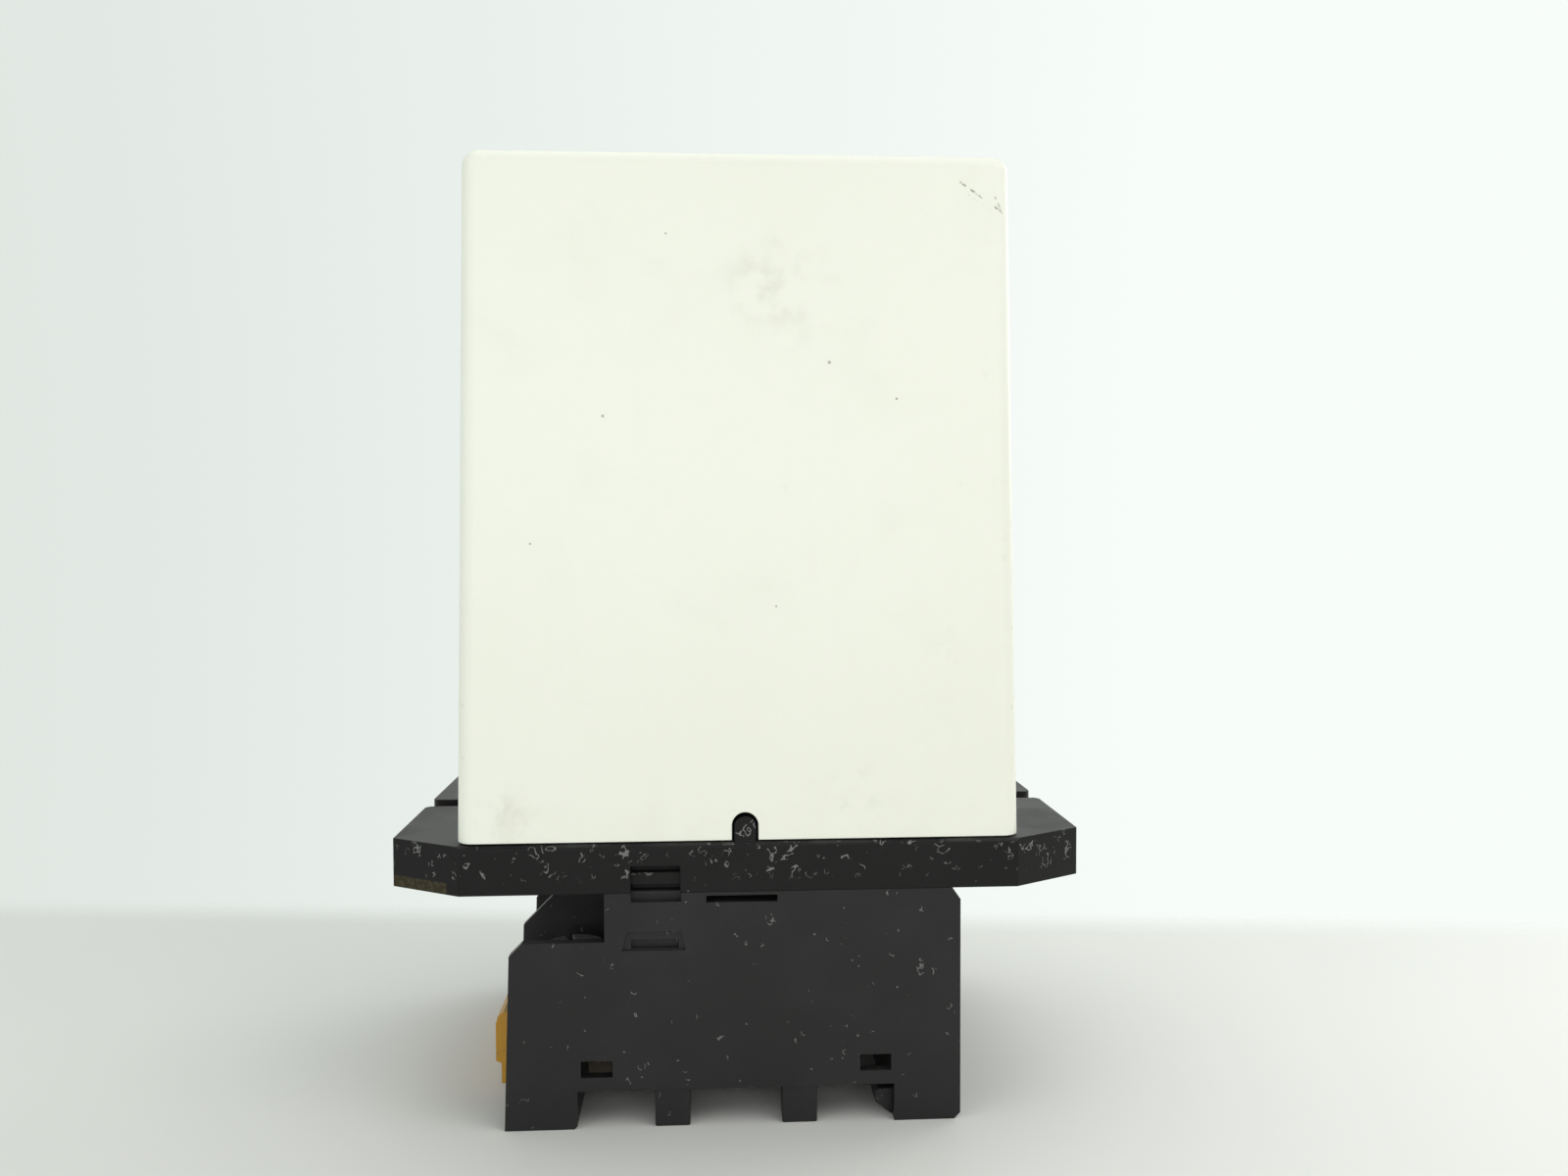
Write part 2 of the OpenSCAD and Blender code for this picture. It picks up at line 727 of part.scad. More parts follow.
module output_relay_bobbin() {
    h = pole_z - relay_floor - yoke_t - 1.1;
    r = coil_r + 0.5;
    color(IVORY) translate([coil_x, coil_y, relay_floor + yoke_t]) rotate_extrude()
        polygon([[2.25, 0.02], [r, 0.02], [r, 1], [2.8, 1], [2.8, h - 1], [r, h - 1], [r, h], [2.25, h]]);
}

module output_relay_winding() {
    h = pole_z - relay_floor - yoke_t - 1.1;
    color(COPPER) translate([coil_x, coil_y, relay_floor + yoke_t]) rotate_extrude()
        polygon([[2.85, 1.05], [coil_r, 1.05], [coil_r, h - 1.05], [2.85, h - 1.05]]);
}

module output_relay_armature() {
    color(STEEL) {
        block([9.5, 5.8, hinge_z + 0.05], [21.3, 14.2, hinge_z + 1.25]);
        block([20.6, 6.4, arm_bottom], [21.3, 13.6, hinge_z + 1]);
        translate([hinge_x, 14.2, hinge_z]) rotate([90, 0, 0]) cylinder(h = 8.4, r = roll_r);
        block([20.4, 3.4, hinge_z + 0.05], [22.8, 6.4, hinge_z + 1.25]);
    }
}

module output_relay_contact_spring() {
    color(BRASS) {
        block([21.3, 7.5, arm_bottom - 2], [21.6, 12.5, hinge_z - 2]);
        translate([21.4, coil_y, arm_bottom]) rotate([0, 90, 0]) cylinder(h = 0.6, r = 1.3);
    }
}

module output_relay_fixed_contact() {
    color(BRASS) {
        block([23.3, 7, relay_floor], [23.8, 13, arm_bottom + 3]);
        translate([22.66, coil_y, arm_bottom]) rotate([0, 90, 0]) cylinder(h = 0.75, r = 1.3);
    }
}

module output_relay_return_spring() {
    z0 = relay_floor + 7.2;
    color(STEEL) translate([21.9, 4.5, z0]) coil_spring(0.75, 0.3, hinge_z + 0.05 - z0, 9, 10, 6);
}

/* ---- Upper boards ---- */

module logic_board() {
    color(BOARD) difference() {
        block([-25, logic_y, base_board_top], [25, logic_y + board_t, control_z]);
        // Clear of the base board's screws and of the blades' soldered ends
        for (s = SIDES) block([s * 24 - 3.6, logic_y - 1, base_board_top - 1],
            [s * 24 + 3.6, logic_y + 3, base_board_top + 2]);
        for (x = [blade_left_x, blade_right_x]) block([x - 1.8, logic_y - 1, base_board_top - 1],
            [x + 1.8, logic_y + 3, base_board_top + 1.6]);
    }
}

module board_headers() {
    color(BLACK) {
        block([-20, logic_y - 2.5, base_board_top], [-10, logic_y, base_board_top + 2.5]);
        block([-10, logic_y - 2.5, control_z - 2.5], [10, logic_y, control_z]);
    }
}

// A chip lying on the logic board's front face
module chip(x, z, w, h) {
    block([x - w / 2, logic_y - 3.6, z - h / 2], [x + w / 2, logic_y - 0.4, z + h / 2]);
    pins = floor(w / 2.54);
    for (i = [0:pins - 1], s = SIDES)
        block([x + (i - (pins - 1) / 2) * 2.54 - 0.25, logic_y - 2.2, z + s * (h / 2 + 0.4) - 0.5],
            [x + (i - (pins - 1) / 2) * 2.54 + 0.25, logic_y, z + s * (h / 2 + 0.4) + 0.5]);
}

module logic_chip() {
    color(BLACK) chip(0, 76, 20.4, 6.4);
}

module driver_chip() {
    color(BLACK) chip(-12, 62, 10.2, 6.4);
}

module resistors() {
    color([0.80, 0.68, 0.48]) for (i = [0:5]) translate([4 + 3.6 * i, logic_y - 1.5, 63]) {
        cylinder(h = 5.6, r = 1.1, center = true);
        cylinder(h = 9, r = 0.35, center = true);
        for (s = SIDES) translate([0, 0.75, s * 4.2]) rotate([90, 0, 0])
            cylinder(h = 1.5, r = 0.35, center = true);
    }
}

module control_board() {
    color(BOARD) block([-26.5, -19.5, control_z], [26.5, 20, control_top]);
}

module dial_potentiometers() {
    color(GREY) for (s = SIDES) translate([s * dial_x, dial_y, control_top]) difference() {
        translate([0, 0, pot_h / 2]) cube([9.6, 9.6, pot_h], center = true);
        translate([0, 0, pot_h - 1.5]) cylinder(h = 2, r = shaft_r + 0.05);
    }
}

// A dial with a stepped skirt, a pointer groove and finger flutes round its grip
module dial() {
    top = case_top + dial_rise;
    z0 = face_z + face_t + 0.15;
    shaft_z = control_top + pot_h - 1.45;
    r = dial_dia / 2;
    difference() {
        union() {
            translate([0, 0, shaft_z]) cylinder(h = z0 - shaft_z + 0.5, r = shaft_r);
            translate([0, 0, z0]) rotate_extrude() polygon([[0, 0], [r, 0], [r, 0.5], [r - 0.5, 0.8],
                [r - 0.8, top - z0 - 0.4], [r - 1.2, top - z0], [0, top - z0]]);
        }
        for (a = [15:30:345]) rotate([0, 0, a]) translate([r - 0.2, 0, z0 + 0.9]) cylinder(h = 5, r = 0.75);
        block([-0.5, 0, top - 0.5], [0.5, r - 1, top + 1]);
        block([-2.6, -0.5, top - 1.1], [2.6, 0.5, top + 1]);
    }
}

module level_dial() {
    color(GREY) translate([-dial_x, dial_y, 0]) dial();
}

module delay_dial() {
    color(GREY) translate([dial_x, dial_y, 0]) dial();
}

module tact_switches() {
    color(BLACK) for (x = [test_x, reset_x]) translate([x, row_y, control_top]) {
        translate([0, 0, tact_h / 2]) cube([6, 6, tact_h], center = true);
        cylinder(h = tact_h + 0.35, r = 1.2);
    }
}

// A push button with a dished cap, a collar under the case's skin and a thin stem
module button_shape() {
    top = case_top + button_rise;
    r = button_dia / 2;
    rotate_extrude() polygon([[0, stem_z], [1.1, stem_z], [1.1, collar_z], [r + 0.7, collar_z],
        [r + 0.7, collar_z + 1], [r, collar_z + 1], [r, top - 0.3], [r - 0.3, top], [r - 0.8, top],
        [r - 1.2, top - 0.15], [0, top - 0.25]]);
}

module test_button() {
    color([0.20, 0.45, 0.75]) translate([test_x, row_y, 0]) button_shape();
}

module reset_button() {
    color([0.80, 0.16, 0.13]) translate([reset_x, row_y, 0]) button_shape();
}

module button_spring() {
    z0 = control_top + tact_h;
    translate([0, 0, z0]) coil_spring(2, 0.4, collar_z - z0, 3);
}

module test_button_spring() {
    color(STEEL) translate([test_x, row_y, 0]) button_spring();
}

module reset_button_spring() {
    color(STEEL) translate([reset_x, row_y, 0]) button_spring();
}

module mode_switch_body() {
    color(BLACK) difference() {
        translate([lever_x + lever_gap / 2, row_y, control_top + 2.5]) cube([10, 8, 5], center = true);
        for (i = [0, 1]) translate([lever_x + i * lever_gap, row_y, control_top + 4])
            cube([lever_w + 0.2, lever_w + lever_travel + 0.2, 4], center = true);
    }
}

module mode_lever() {
    y = row_y - lever_travel / 2;
    block([-lever_w / 2, y - lever_w / 2, control_top + 2.2], [lever_w / 2, y + lever_w / 2, case_top + 0.9]);
}

module mode_lever_left() {
    color(IVORY) translate([lever_x, 0, 0]) mode_lever();
}

module mode_lever_right() {
    color(IVORY) translate([lever_x + lever_gap, 0, 0]) mode_lever();
}

// A round-nosed lamp with a collar and two legs
module lamp() {
    r = lamp_dia / 2;
    z0 = control_top + 5;
    nose = case_top + 0.5 - r;
    rotate_extrude() union() {
        polygon([[0, z0], [r + 0.4, z0], [r + 0.4, z0 + 1], [r, z0 + 1], [r, nose], [0, nose]]);
        intersection() {
            translate([0, nose]) circle(r = r);
            translate([0, nose - eps]) square([r, r + 1]);
        }
    }
    for (s = SIDES) translate([s * 0.7, 0, control_top]) cylinder(h = 5.5, r = 0.25);
}

module power_lamp() {
    color([0.25, 0.75, 0.35]) translate([power_x, row_y, 0]) lamp();
}

module trip_lamp() {
    color([0.85, 0.25, 0.15]) translate([trip_x, row_y, 0]) lamp();
}

/* ---- Case ---- */

// A box with round upright edges and a round top, narrowing upwards
module case_solid(w, d, z0, z1, r) {
    x1 = w / 2 - r;
    y1 = d / 2 - r;
    hull() for (x = SIDES, y = SIDES) {
        translate([x * x1, y * y1, z0]) cylinder(h = 0.5, r = r, $fn = 32);
        translate([x * (x1 - case_draft), y * (y1 - case_draft), z1 - r]) sphere(r = r, $fn = 32);
    }
}

// The openings for dials, buttons, levers and lamps, through the top
module control_openings() {
    z0 = skin_z - 1;
    for (s = SIDES) translate([s * dial_x, dial_y, z0]) cylinder(h = 6, r = shaft_hole_r);
    for (x = [test_x, reset_x]) translate([x, row_y, z0]) cylinder(h = 6, r = button_dia / 2 + hole_gap);
    for (x = [power_x, trip_x]) translate([x, row_y, z0]) cylinder(h = 6, r = lamp_dia / 2 + 0.1);
    for (i = [0, 1]) translate([lever_x + i * lever_gap, row_y, skin_z + 2])
        cube([lever_w + 0.5, lever_w + lever_travel + 0.5, 8], center = true);
}

// The round-topped notch for the key, in the foot of the front wall
module key_notch() {
    r = key_notch_w / 2;
    y1 = case_wall - case_d / 2 + 1;
    z1 = flange_top + key_notch_h - r;
    block([key_x - r, -case_d, case_foot - 1], [key_x + r, y1, z1]);
    translate([key_x, y1, z1]) rotate([90, 0, 0]) cylinder(h = case_d / 2, r = r);
}

module case_cover() {
    color(IVORY) difference() {
        case_solid(case_w, case_d, case_foot, case_top, case_r);
        case_solid(case_w - 2 * case_wall, case_d - 2 * case_wall, case_foot - 1, skin_z, 0.6);
        translate([0, 0, face_z + 2]) cube([plate_w + 0.3, plate_d + 0.3, 4], center = true);
        control_openings();
        key_notch();
        mirror([0, 1, 0]) key_notch();
    }
}

module face_plate() {
    color(GREY) difference() {
        translate([0, 0, face_z + face_t / 2]) cube([plate_w, plate_d, face_t], center = true);
        control_openings();
    }
}

socket_housing();
socket_bottom_cover();
din_slider();
slider_springs();
terminal_screws_left();
terminal_screws_right();
clamp_washers_left();
clamp_washers_right();
terminal_strips();
contact_clips();
relay_base();
plug_blades();
base_board();
base_board_screws();
transformer_core();
transformer_bobbin();
transformer_winding();
smoothing_capacitors();
film_capacitor();
varistor();
rectifier_diodes();
voltage_regulator();
output_relay_base();
output_relay_yoke();
output_relay_core();
output_relay_bobbin();
output_relay_winding();
output_relay_armature();
output_relay_contact_spring();
output_relay_fixed_contact();
output_relay_return_spring();
logic_board();
board_headers();
logic_chip();
driver_chip();
resistors();
control_board();
dial_potentiometers();
level_dial();
delay_dial();
tact_switches();
test_button();
reset_button();
test_button_spring();
reset_button_spring();
mode_switch_body();
mode_lever_left();
mode_lever_right();
power_lamp();
trip_lamp();
case_cover();
face_plate();
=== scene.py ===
"""Looks of a plug-in protective relay in its rail socket.

Lengths below are in millimetres, and MM turns them to metres. X runs across the rail, Y along it and Z up.
Places are read from the CAD boxes where a piece has one.
"""
import json
import math

import bmesh
import bpy
import numpy as np
from mathutils import Matrix, Vector


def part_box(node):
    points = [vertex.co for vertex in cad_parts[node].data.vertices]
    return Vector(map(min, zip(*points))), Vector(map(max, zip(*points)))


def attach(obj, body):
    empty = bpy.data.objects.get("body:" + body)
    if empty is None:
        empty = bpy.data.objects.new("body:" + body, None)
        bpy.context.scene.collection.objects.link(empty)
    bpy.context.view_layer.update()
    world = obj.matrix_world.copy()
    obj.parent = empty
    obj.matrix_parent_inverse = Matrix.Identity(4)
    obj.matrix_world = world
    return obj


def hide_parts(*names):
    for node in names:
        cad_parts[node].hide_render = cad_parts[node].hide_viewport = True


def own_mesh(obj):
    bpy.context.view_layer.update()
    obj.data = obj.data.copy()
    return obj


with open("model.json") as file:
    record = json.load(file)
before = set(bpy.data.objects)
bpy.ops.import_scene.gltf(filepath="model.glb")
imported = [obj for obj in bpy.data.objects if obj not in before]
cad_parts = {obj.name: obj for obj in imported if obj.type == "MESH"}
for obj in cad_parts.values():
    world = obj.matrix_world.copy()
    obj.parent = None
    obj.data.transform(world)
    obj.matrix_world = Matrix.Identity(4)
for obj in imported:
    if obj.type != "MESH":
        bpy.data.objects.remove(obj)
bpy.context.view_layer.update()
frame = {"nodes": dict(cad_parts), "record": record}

MM = 0.001
nodes = frame["nodes"]


# ------------------------------------------------------------------------------
# Shader values
# ------------------------------------------------------------------------------

class Value:
    """One number or vector in a shader. Arithmetic on it adds Math nodes."""

    def __init__(self, finish, socket):
        self.finish = finish
        self.socket = socket

    def _math(self, operation, *inputs):
        return self.finish.node("ShaderNodeMath", {"operation": operation}, list(inputs))

    def __add__(self, other):
        return self._math("ADD", self, other)

    __radd__ = __add__

    def __sub__(self, other):
        return self._math("SUBTRACT", self, other)

    def __rsub__(self, other):
        return self._math("SUBTRACT", other, self)

    def __mul__(self, other):
        return self._math("MULTIPLY", self, other)

    __rmul__ = __mul__

    def __truediv__(self, other):
        return self._math("DIVIDE", self, other)

    def __pow__(self, other):
        return self._math("POWER", self, other)

    def __abs__(self):
        return self._math("ABSOLUTE", self)

    def __mod__(self, other):
        return self._math("FLOORED_MODULO", self, other)

    def clamp(self, low=0.0, high=1.0):
        return self._math("MAXIMUM", self._math("MINIMUM", self, high), low)

    def root(self):
        return self._math("SQRT", self)

    def largest(self, other):
        return self._math("MAXIMUM", self, other)

    def step(self, low, high):
        """0 below low, 1 above high, smooth between; low above high turns it round."""
        if low > high:
            return 1 - self.step(high, low)
        settings = {"interpolation_type": "SMOOTHSTEP"}
        inputs = {"Value": self, "From Min": low, "From Max": high}
        return self.finish.node("ShaderNodeMapRange", settings, inputs)

    def between(self, low, high, soft):
        """1 from low to high, fading over soft on both sides."""
        return self.step(low - soft, low) * self.step(high + soft, high)


class Finish:
    """A material being built. Its place values are Object coordinates in millimetres."""

    def __init__(self, name):
        self.material = bpy.data.materials.new(name)
        self.material.use_nodes = True
        self.tree = self.material.node_tree
        self.tree.nodes.clear()
        self.out = self.tree.nodes.new("ShaderNodeOutputMaterial")
        place = self.node("ShaderNodeTexCoord", output="Object")
        scaled = {"Vector": place, "Scale": 1 / MM}
        self.place = self.node("ShaderNodeVectorMath", {"operation": "SCALE"}, scaled)
        split = self.node("ShaderNodeSeparateXYZ", inputs=[self.place]).socket.node
        self.x, self.y, self.z = (Value(self, s) for s in split.outputs)
        facing = self.node("ShaderNodeNewGeometry", output="Normal").socket
        split = self.node("ShaderNodeSeparateXYZ", inputs=[Value(self, facing)]).socket.node
        self.nx, self.ny, self.nz = (Value(self, s) for s in split.outputs)

    def node(self, kind, settings=None, inputs=(), output=0):
        """Adds one node, sets its inputs by name or in order, and returns one of its outputs."""
        made = self.tree.nodes.new(kind)
        for key, value in (settings or {}).items():
            setattr(made, key, value)
        pairs = inputs.items() if isinstance(inputs, dict) else enumerate(inputs)
        for key, value in pairs:
            if isinstance(value, Value):
                self.tree.links.new(value.socket, made.inputs[key])
            else:
                made.inputs[key].default_value = value
        return Value(self, made.outputs[output])

    def stretched(self, sx, sy, sz, turn=(0, 0, 0)):
        """Places squeezed or stretched along each axis, for brushed and scratched patterns."""
        inputs = {"Vector": self.place, "Rotation": turn, "Scale": (sx, sy, sz)}
        return self.node("ShaderNodeMapping", inputs=inputs)

    def noise(self, size, detail=2.0, rough=0.5, place=None, seed=0.0, warp=0.0):
        """Soft noise from 0 to 1 whose blotches are about size millimetres wide."""
        inputs = {"Vector": place or self.place, "W": seed, "Scale": 1 / size, "Detail": detail,
                  "Roughness": rough, "Distortion": warp}
        return self.node("ShaderNodeTexNoise", {"noise_dimensions": "4D"}, inputs)

    def cells(self, size, place=None):
        """Distance to the nearest of scattered points about size millimetres apart."""
        inputs = {"Vector": place or self.place, "Scale": 1 / size}
        return self.node("ShaderNodeTexVoronoi", {"feature": "F1"}, inputs, "Distance")

    def mix(self, factor, a, b):
        """Colour a where factor is 0 and colour b where it is 1."""
        made = self.tree.nodes.new("ShaderNodeMix")
        made.data_type = "RGBA"
        for key, value in ((0, factor), (6, a), (7, b)):
            if isinstance(value, Value):
                self.tree.links.new(value.socket, made.inputs[key])
            else:
                made.inputs[key].default_value = (*value, 1.0) if key else value
        return Value(self, made.outputs[2])

    def stroke(self, start, end, width, soft=0.1):
        """1 along a straight mark on a face seen from the front; start and end are (x, z)."""
        (ax, az), (bx, bz) = start, end
        length = math.hypot(bx - ax, bz - az)
        ux, uz = (bx - ax) / length, (bz - az) / length
        dx, dz = self.x - ax, self.z - az
        along = (dx * ux + dz * uz).clamp(0, length)
        off = ((dx - along * ux) ** 2 + (dz - along * uz) ** 2).root()
        return off.step(width + soft, width)

    def spot(self, x, z, radius, soft=0.08):
        """1 inside a round mark on a face seen from the front."""
        off = ((self.x - x) ** 2 + (self.z - z) ** 2).root()
        return off.step(radius + soft, radius)

    def fibres(self, size, share, seed=0.0):
        """Thin curly threads of dust: level lines of one noise, kept where a second noise is high."""
        line = abs(self.noise(size, 1.0, seed=seed) - 0.5).step(0.032, 0.014)
        kept = self.noise(size * 1.6, 0.0, seed=seed + 3).step(share, share + 0.03)
        return line * kept

    def specks(self, size, share, seed=0.0):
        """Scattered small dots."""
        shift = self.node("ShaderNodeVectorMath", {"operation": "ADD"}, [self.place, (seed, seed, seed)])
        near = self.cells(size, shift).step(0.17, 0.09)
        return near * self.noise(size * 2.3, 0.0, seed=seed).step(share, share + 0.02)

    def bump(self, height, depth, strength=1.0, under=None):
        """Surface relief: height runs from 0 to 1 over depth millimetres."""
        inputs = {"Height": height, "Distance": depth * MM, "Strength": strength}
        if under is not None:
            inputs["Normal"] = under
        return self.node("ShaderNodeBump", {}, inputs)

    def surface(self, colour, rough, metal=0.0, normal=None, **constants):
        """Joins the values to one Principled shader and returns the material."""
        made = self.tree.nodes.new("ShaderNodeBsdfPrincipled")
        given = {"Base Color": colour, "Roughness": rough, "Metallic": metal}
        if normal is not None:
            given["Normal"] = normal
        given.update({key.replace("_", " "): value for key, value in constants.items()})
        for key, value in given.items():
            if isinstance(value, Value):
                self.tree.links.new(value.socket, made.inputs[key])
            elif isinstance(value, tuple) and len(value) == 3:
                made.inputs[key].default_value = (*value, 1.0)
            else:
                made.inputs[key].default_value = value
        self.tree.links.new(made.outputs[0], self.out.inputs[0])
        return self.material


# ------------------------------------------------------------------------------
# Finishes
# ------------------------------------------------------------------------------

def black_moulding(name, base, lint=0.3, specks=0.5, film=0.05, gloss=0.34, grime=False):
    """Satin black thermoplastic with a fine spark-eroded grain, rubbed patches, curls of lint and dust."""
    f = Finish(name)
    rubbed = f.noise(9, 3.0, seed=1).step(0.42, 0.72)
    flow = f.noise(22, 2.0, seed=4, warp=0.6)
    pale = tuple(min(1, c * 1.5 + 0.002) for c in base)
    colour = f.mix(rubbed * 0.5, base, pale)
    on_front = f.ny.step(-0.3, -0.8) * 0.8 + 0.2
    if grime:
        threads = f.fibres(0.9, 0.62, seed=2).largest(f.fibres(0.6, 0.66, seed=7) * 0.8)
        threads = threads * f.z.step(27.4, 28.6)
    else:
        threads = f.fibres(0.8, 0.73, seed=2)
    dots = f.specks(1.0, 0.66, seed=5) * 0.8
    dusty = threads * lint
    dusty = (dusty.largest(dots * specks) * on_front).clamp()
    colour = f.mix(dusty * 0.7, colour, (0.36, 0.36, 0.34))
    # Faces turned upward made paler grey in blotches, by the film amount
    upward_pale = f.noise(5, 4.0, seed=12).step(0.3, 0.8) * f.nz.step(0.5, 0.9)
    colour = f.mix(upward_pale * film, colour, (0.5, 0.49, 0.46))
    rough = 0.36 + rubbed * 0.1 + dusty * 0.3 + flow * 0.08 + upward_pale * 0.1
    if grime:
        slanted = f.nx.step(-0.3, -0.45) * f.ny.step(-0.5, -0.7)
        strip = slanted * f.z.between(26.0, 27.55, 0.12) * f.x.step(-32.45, -32.6)
        speckled = f.noise(0.5, 3.0, seed=20)
        dirt = f.mix(speckled.step(0.4, 0.75), (0.028, 0.022, 0.010), (0.075, 0.060, 0.032))
        colour = f.mix(strip * 0.92, colour, dirt)
        rough = rough + strip * 0.3
    relief = f.bump(f.noise(0.13, 1.0, seed=3), 0.012, 0.5)
    relief = f.bump(flow, 0.25, 0.35, relief)
    return f.surface(colour, rough, normal=relief, IOR=1.5, Specular_IOR_Level=gloss)


def ivory_moulding(name):
    """Ivory thermoplastic: faint smudges, pinhead specks, scuffed edges and a scratch at a top corner."""
    f = Finish(name)
    aged = f.noise(45, 2.0, seed=1).step(0.3, 0.75)
    colour = f.mix(aged, (0.885, 0.900, 0.815), (0.870, 0.880, 0.780))
    cloud = f.noise(13, 4.0, 0.6, seed=6, warp=0.8).step(0.52, 0.78)
    streaks = f.noise(5, 3.0, 0.6, place=f.stretched(1, 1, 0.35, (0, 0.35, 0)), seed=2).step(0.56, 0.8)
    colour = f.mix(cloud * 0.08 + streaks * 0.05, colour, (0.60, 0.58, 0.47))
    front = f.ny.step(-0.5, -0.9)
    rubs = f.noise(2.2, 4.0, 0.65, seed=15).step(0.60, 0.82) * f.noise(17, 1.0, seed=16).step(0.5, 0.64)
    smudged = f.spot(4.5, 93, 1, 8).largest(f.spot(-26, 35, 1, 4)).largest(f.spot(13, 37, 1, 4) * 0.7)
    smudged = smudged * f.noise(2.6, 4.0, 0.6, seed=21).step(0.42, 0.75) * front
    colour = f.mix(rubs * 0.18 + smudged * 0.25, colour, (0.50, 0.48, 0.38))
    foot = f.z.step(45, 32) * f.noise(6, 3.0, seed=18).step(0.45, 0.75)
    colour = f.mix(foot * 0.08, colour, (0.62, 0.60, 0.50))
    dots = f.spot(-15, 79, 0.12)
    for x, z, radius in ((10, 85, 0.14), (17.5, 81, 0.10), (-23, 65, 0.08), (4, 58, 0.07), (-8, 99, 0.07)):
        dots = dots.largest(f.spot(x, z, radius))
    colour = f.mix(dots * front * 0.6, colour, (0.14, 0.12, 0.09))
    wobble = f.noise(0.6, 2.0, seed=11).step(0.42, 0.6)
    marks = f.stroke((24.7, 105.0), (29.2, 101.9), 0.06)
    marks = marks.largest(f.stroke((25.6, 103.6), (28.0, 102.0), 0.03) * 0.6)
    marks = marks.largest(f.stroke((28.6, 103.4), (29.4, 101.7), 0.05) * 0.7)
    colour = f.mix(marks * wobble * front * 0.8, colour, (0.26, 0.24, 0.17))
    beside = f.x.step(-30.3, -30.9).largest(f.x.step(30.3, 30.9)) * f.z.between(42, 58, 3)
    beside = beside * f.y.step(-21.5, -23)
    scuffs = beside * f.noise(1.2, 3.0, seed=13).step(0.58, 0.72)
    colour = f.mix(scuffs * 0.5, colour, (0.20, 0.19, 0.15))
    rough = 0.36 + cloud * 0.14 + rubs * 0.1 + f.noise(3, 2.0, seed=9) * 0.06
    relief = f.bump(f.noise(0.16, 1.0, seed=5), 0.006, 0.4)
    relief = f.bump(f.noise(28, 1.0, seed=8), 0.3, 0.25, relief)
    relief = f.bump(1 - marks * wobble * front, 0.05, 0.5, relief)
    return f.surface(colour, rough, normal=relief, IOR=1.49, Subsurface_Weight=0.04, Subsurface_Scale=0.002)


def coloured_moulding(name, base, rough=0.36, wear=0.25):
    """Coloured thermoplastic with mottled gloss, rubbed patches and a few dust specks."""
    f = Finish(name)
    mottled = f.noise(4, 3.0, seed=2).step(0.35, 0.75)
    dark = tuple(c * 0.8 for c in base)
    colour = f.mix(mottled * 0.6, base, dark)
    rubbed = f.noise(1.4, 4.0, 0.6, seed=5).step(0.55, 0.8)
    colour = f.mix(rubbed * wear, colour, tuple(min(1, c * 0.6 + 0.22) for c in base))
    dots = f.specks(1.1, 0.6, seed=6)
    colour = f.mix(dots * 0.4, colour, (0.12, 0.10, 0.07))
    gloss = rough + mottled * 0.08 + rubbed * 0.14
    relief = f.bump(f.noise(0.15, 1.0, seed=3), 0.01, 0.4)
    return f.surface(colour, gloss, normal=relief, IOR=1.5)


def metal(name, base, rough=0.28, tarnish=(0.3, 0.24, 0.14), grain=(1, 1, 0.06), aged=0.3):
    """Plated or bare sheet metal: fine rolling lines, cloudy tarnish and small pits."""
    f = Finish(name)
    lines = f.noise(0.35, 3.0, 0.6, place=f.stretched(*grain), seed=1)
    cloud = f.noise(2.6, 4.0, 0.6, seed=4).step(0.45, 0.75)
    colour = f.mix(cloud * aged, base, tarnish)
    colour = f.mix(lines.step(0.35, 0.7) * 0.25, colour, tuple(c * 0.72 for c in base))
    pits = f.specks(0.6, 0.62, seed=2)
    colour = f.mix(pits * 0.5, colour, tuple(c * 0.4 for c in base))
    gloss = rough + cloud * 0.18 + lines * 0.12 + pits * 0.2
    relief = f.bump(lines, 0.012, 0.5)
    relief = f.bump(1 - pits, 0.02, 0.4, relief)
    return f.surface(colour, gloss, 0.96, relief)


def circuit_board(name):
    """Glass-epoxy board under green lacquer: raised copper tracks, tinned vias and a faint glass weave."""
    f = Finish(name)
    lane = abs(((f.x + f.z * 0.5) / 1.27) % 1 - 0.5)
    cross = abs(((f.y * 0.9 + f.z * 0.5) / 1.27) % 1 - 0.5)
    zone = f.noise(7, 0.0, seed=2)
    tracks = lane.step(0.26, 0.2) * zone.step(0.47, 0.48) + cross.step(0.26, 0.2) * zone.step(0.47, 0.46)
    gaps = f.noise(3.5, 1.0, seed=5).step(0.42, 0.44)
    tracks = tracks * gaps
    weave = f.node("ShaderNodeTexWave", {}, {"Vector": f.place, "Scale": 1.3, "Distortion": 0.6}, 1)
    colour = f.mix(tracks, (0.012, 0.085, 0.036), (0.03, 0.17, 0.07))
    colour = f.mix(weave * 0.18, colour, (0.02, 0.13, 0.06))
    vias = f.cells(3.1).step(0.16, 0.12) * f.noise(6, 0.0, seed=8).step(0.5, 0.52)
    colour = f.mix(vias, colour, (0.68, 0.66, 0.6))
    flux = f.noise(8, 3.0, seed=9).step(0.55, 0.8) * 0.5
    colour = f.mix(flux * 0.25, colour, (0.16, 0.12, 0.04))
    relief = f.bump(tracks, 0.035, 0.8)
    return f.surface(colour, 0.28 + flux * 0.2 + weave * 0.06, vias * 0.9, relief, IOR=1.5)


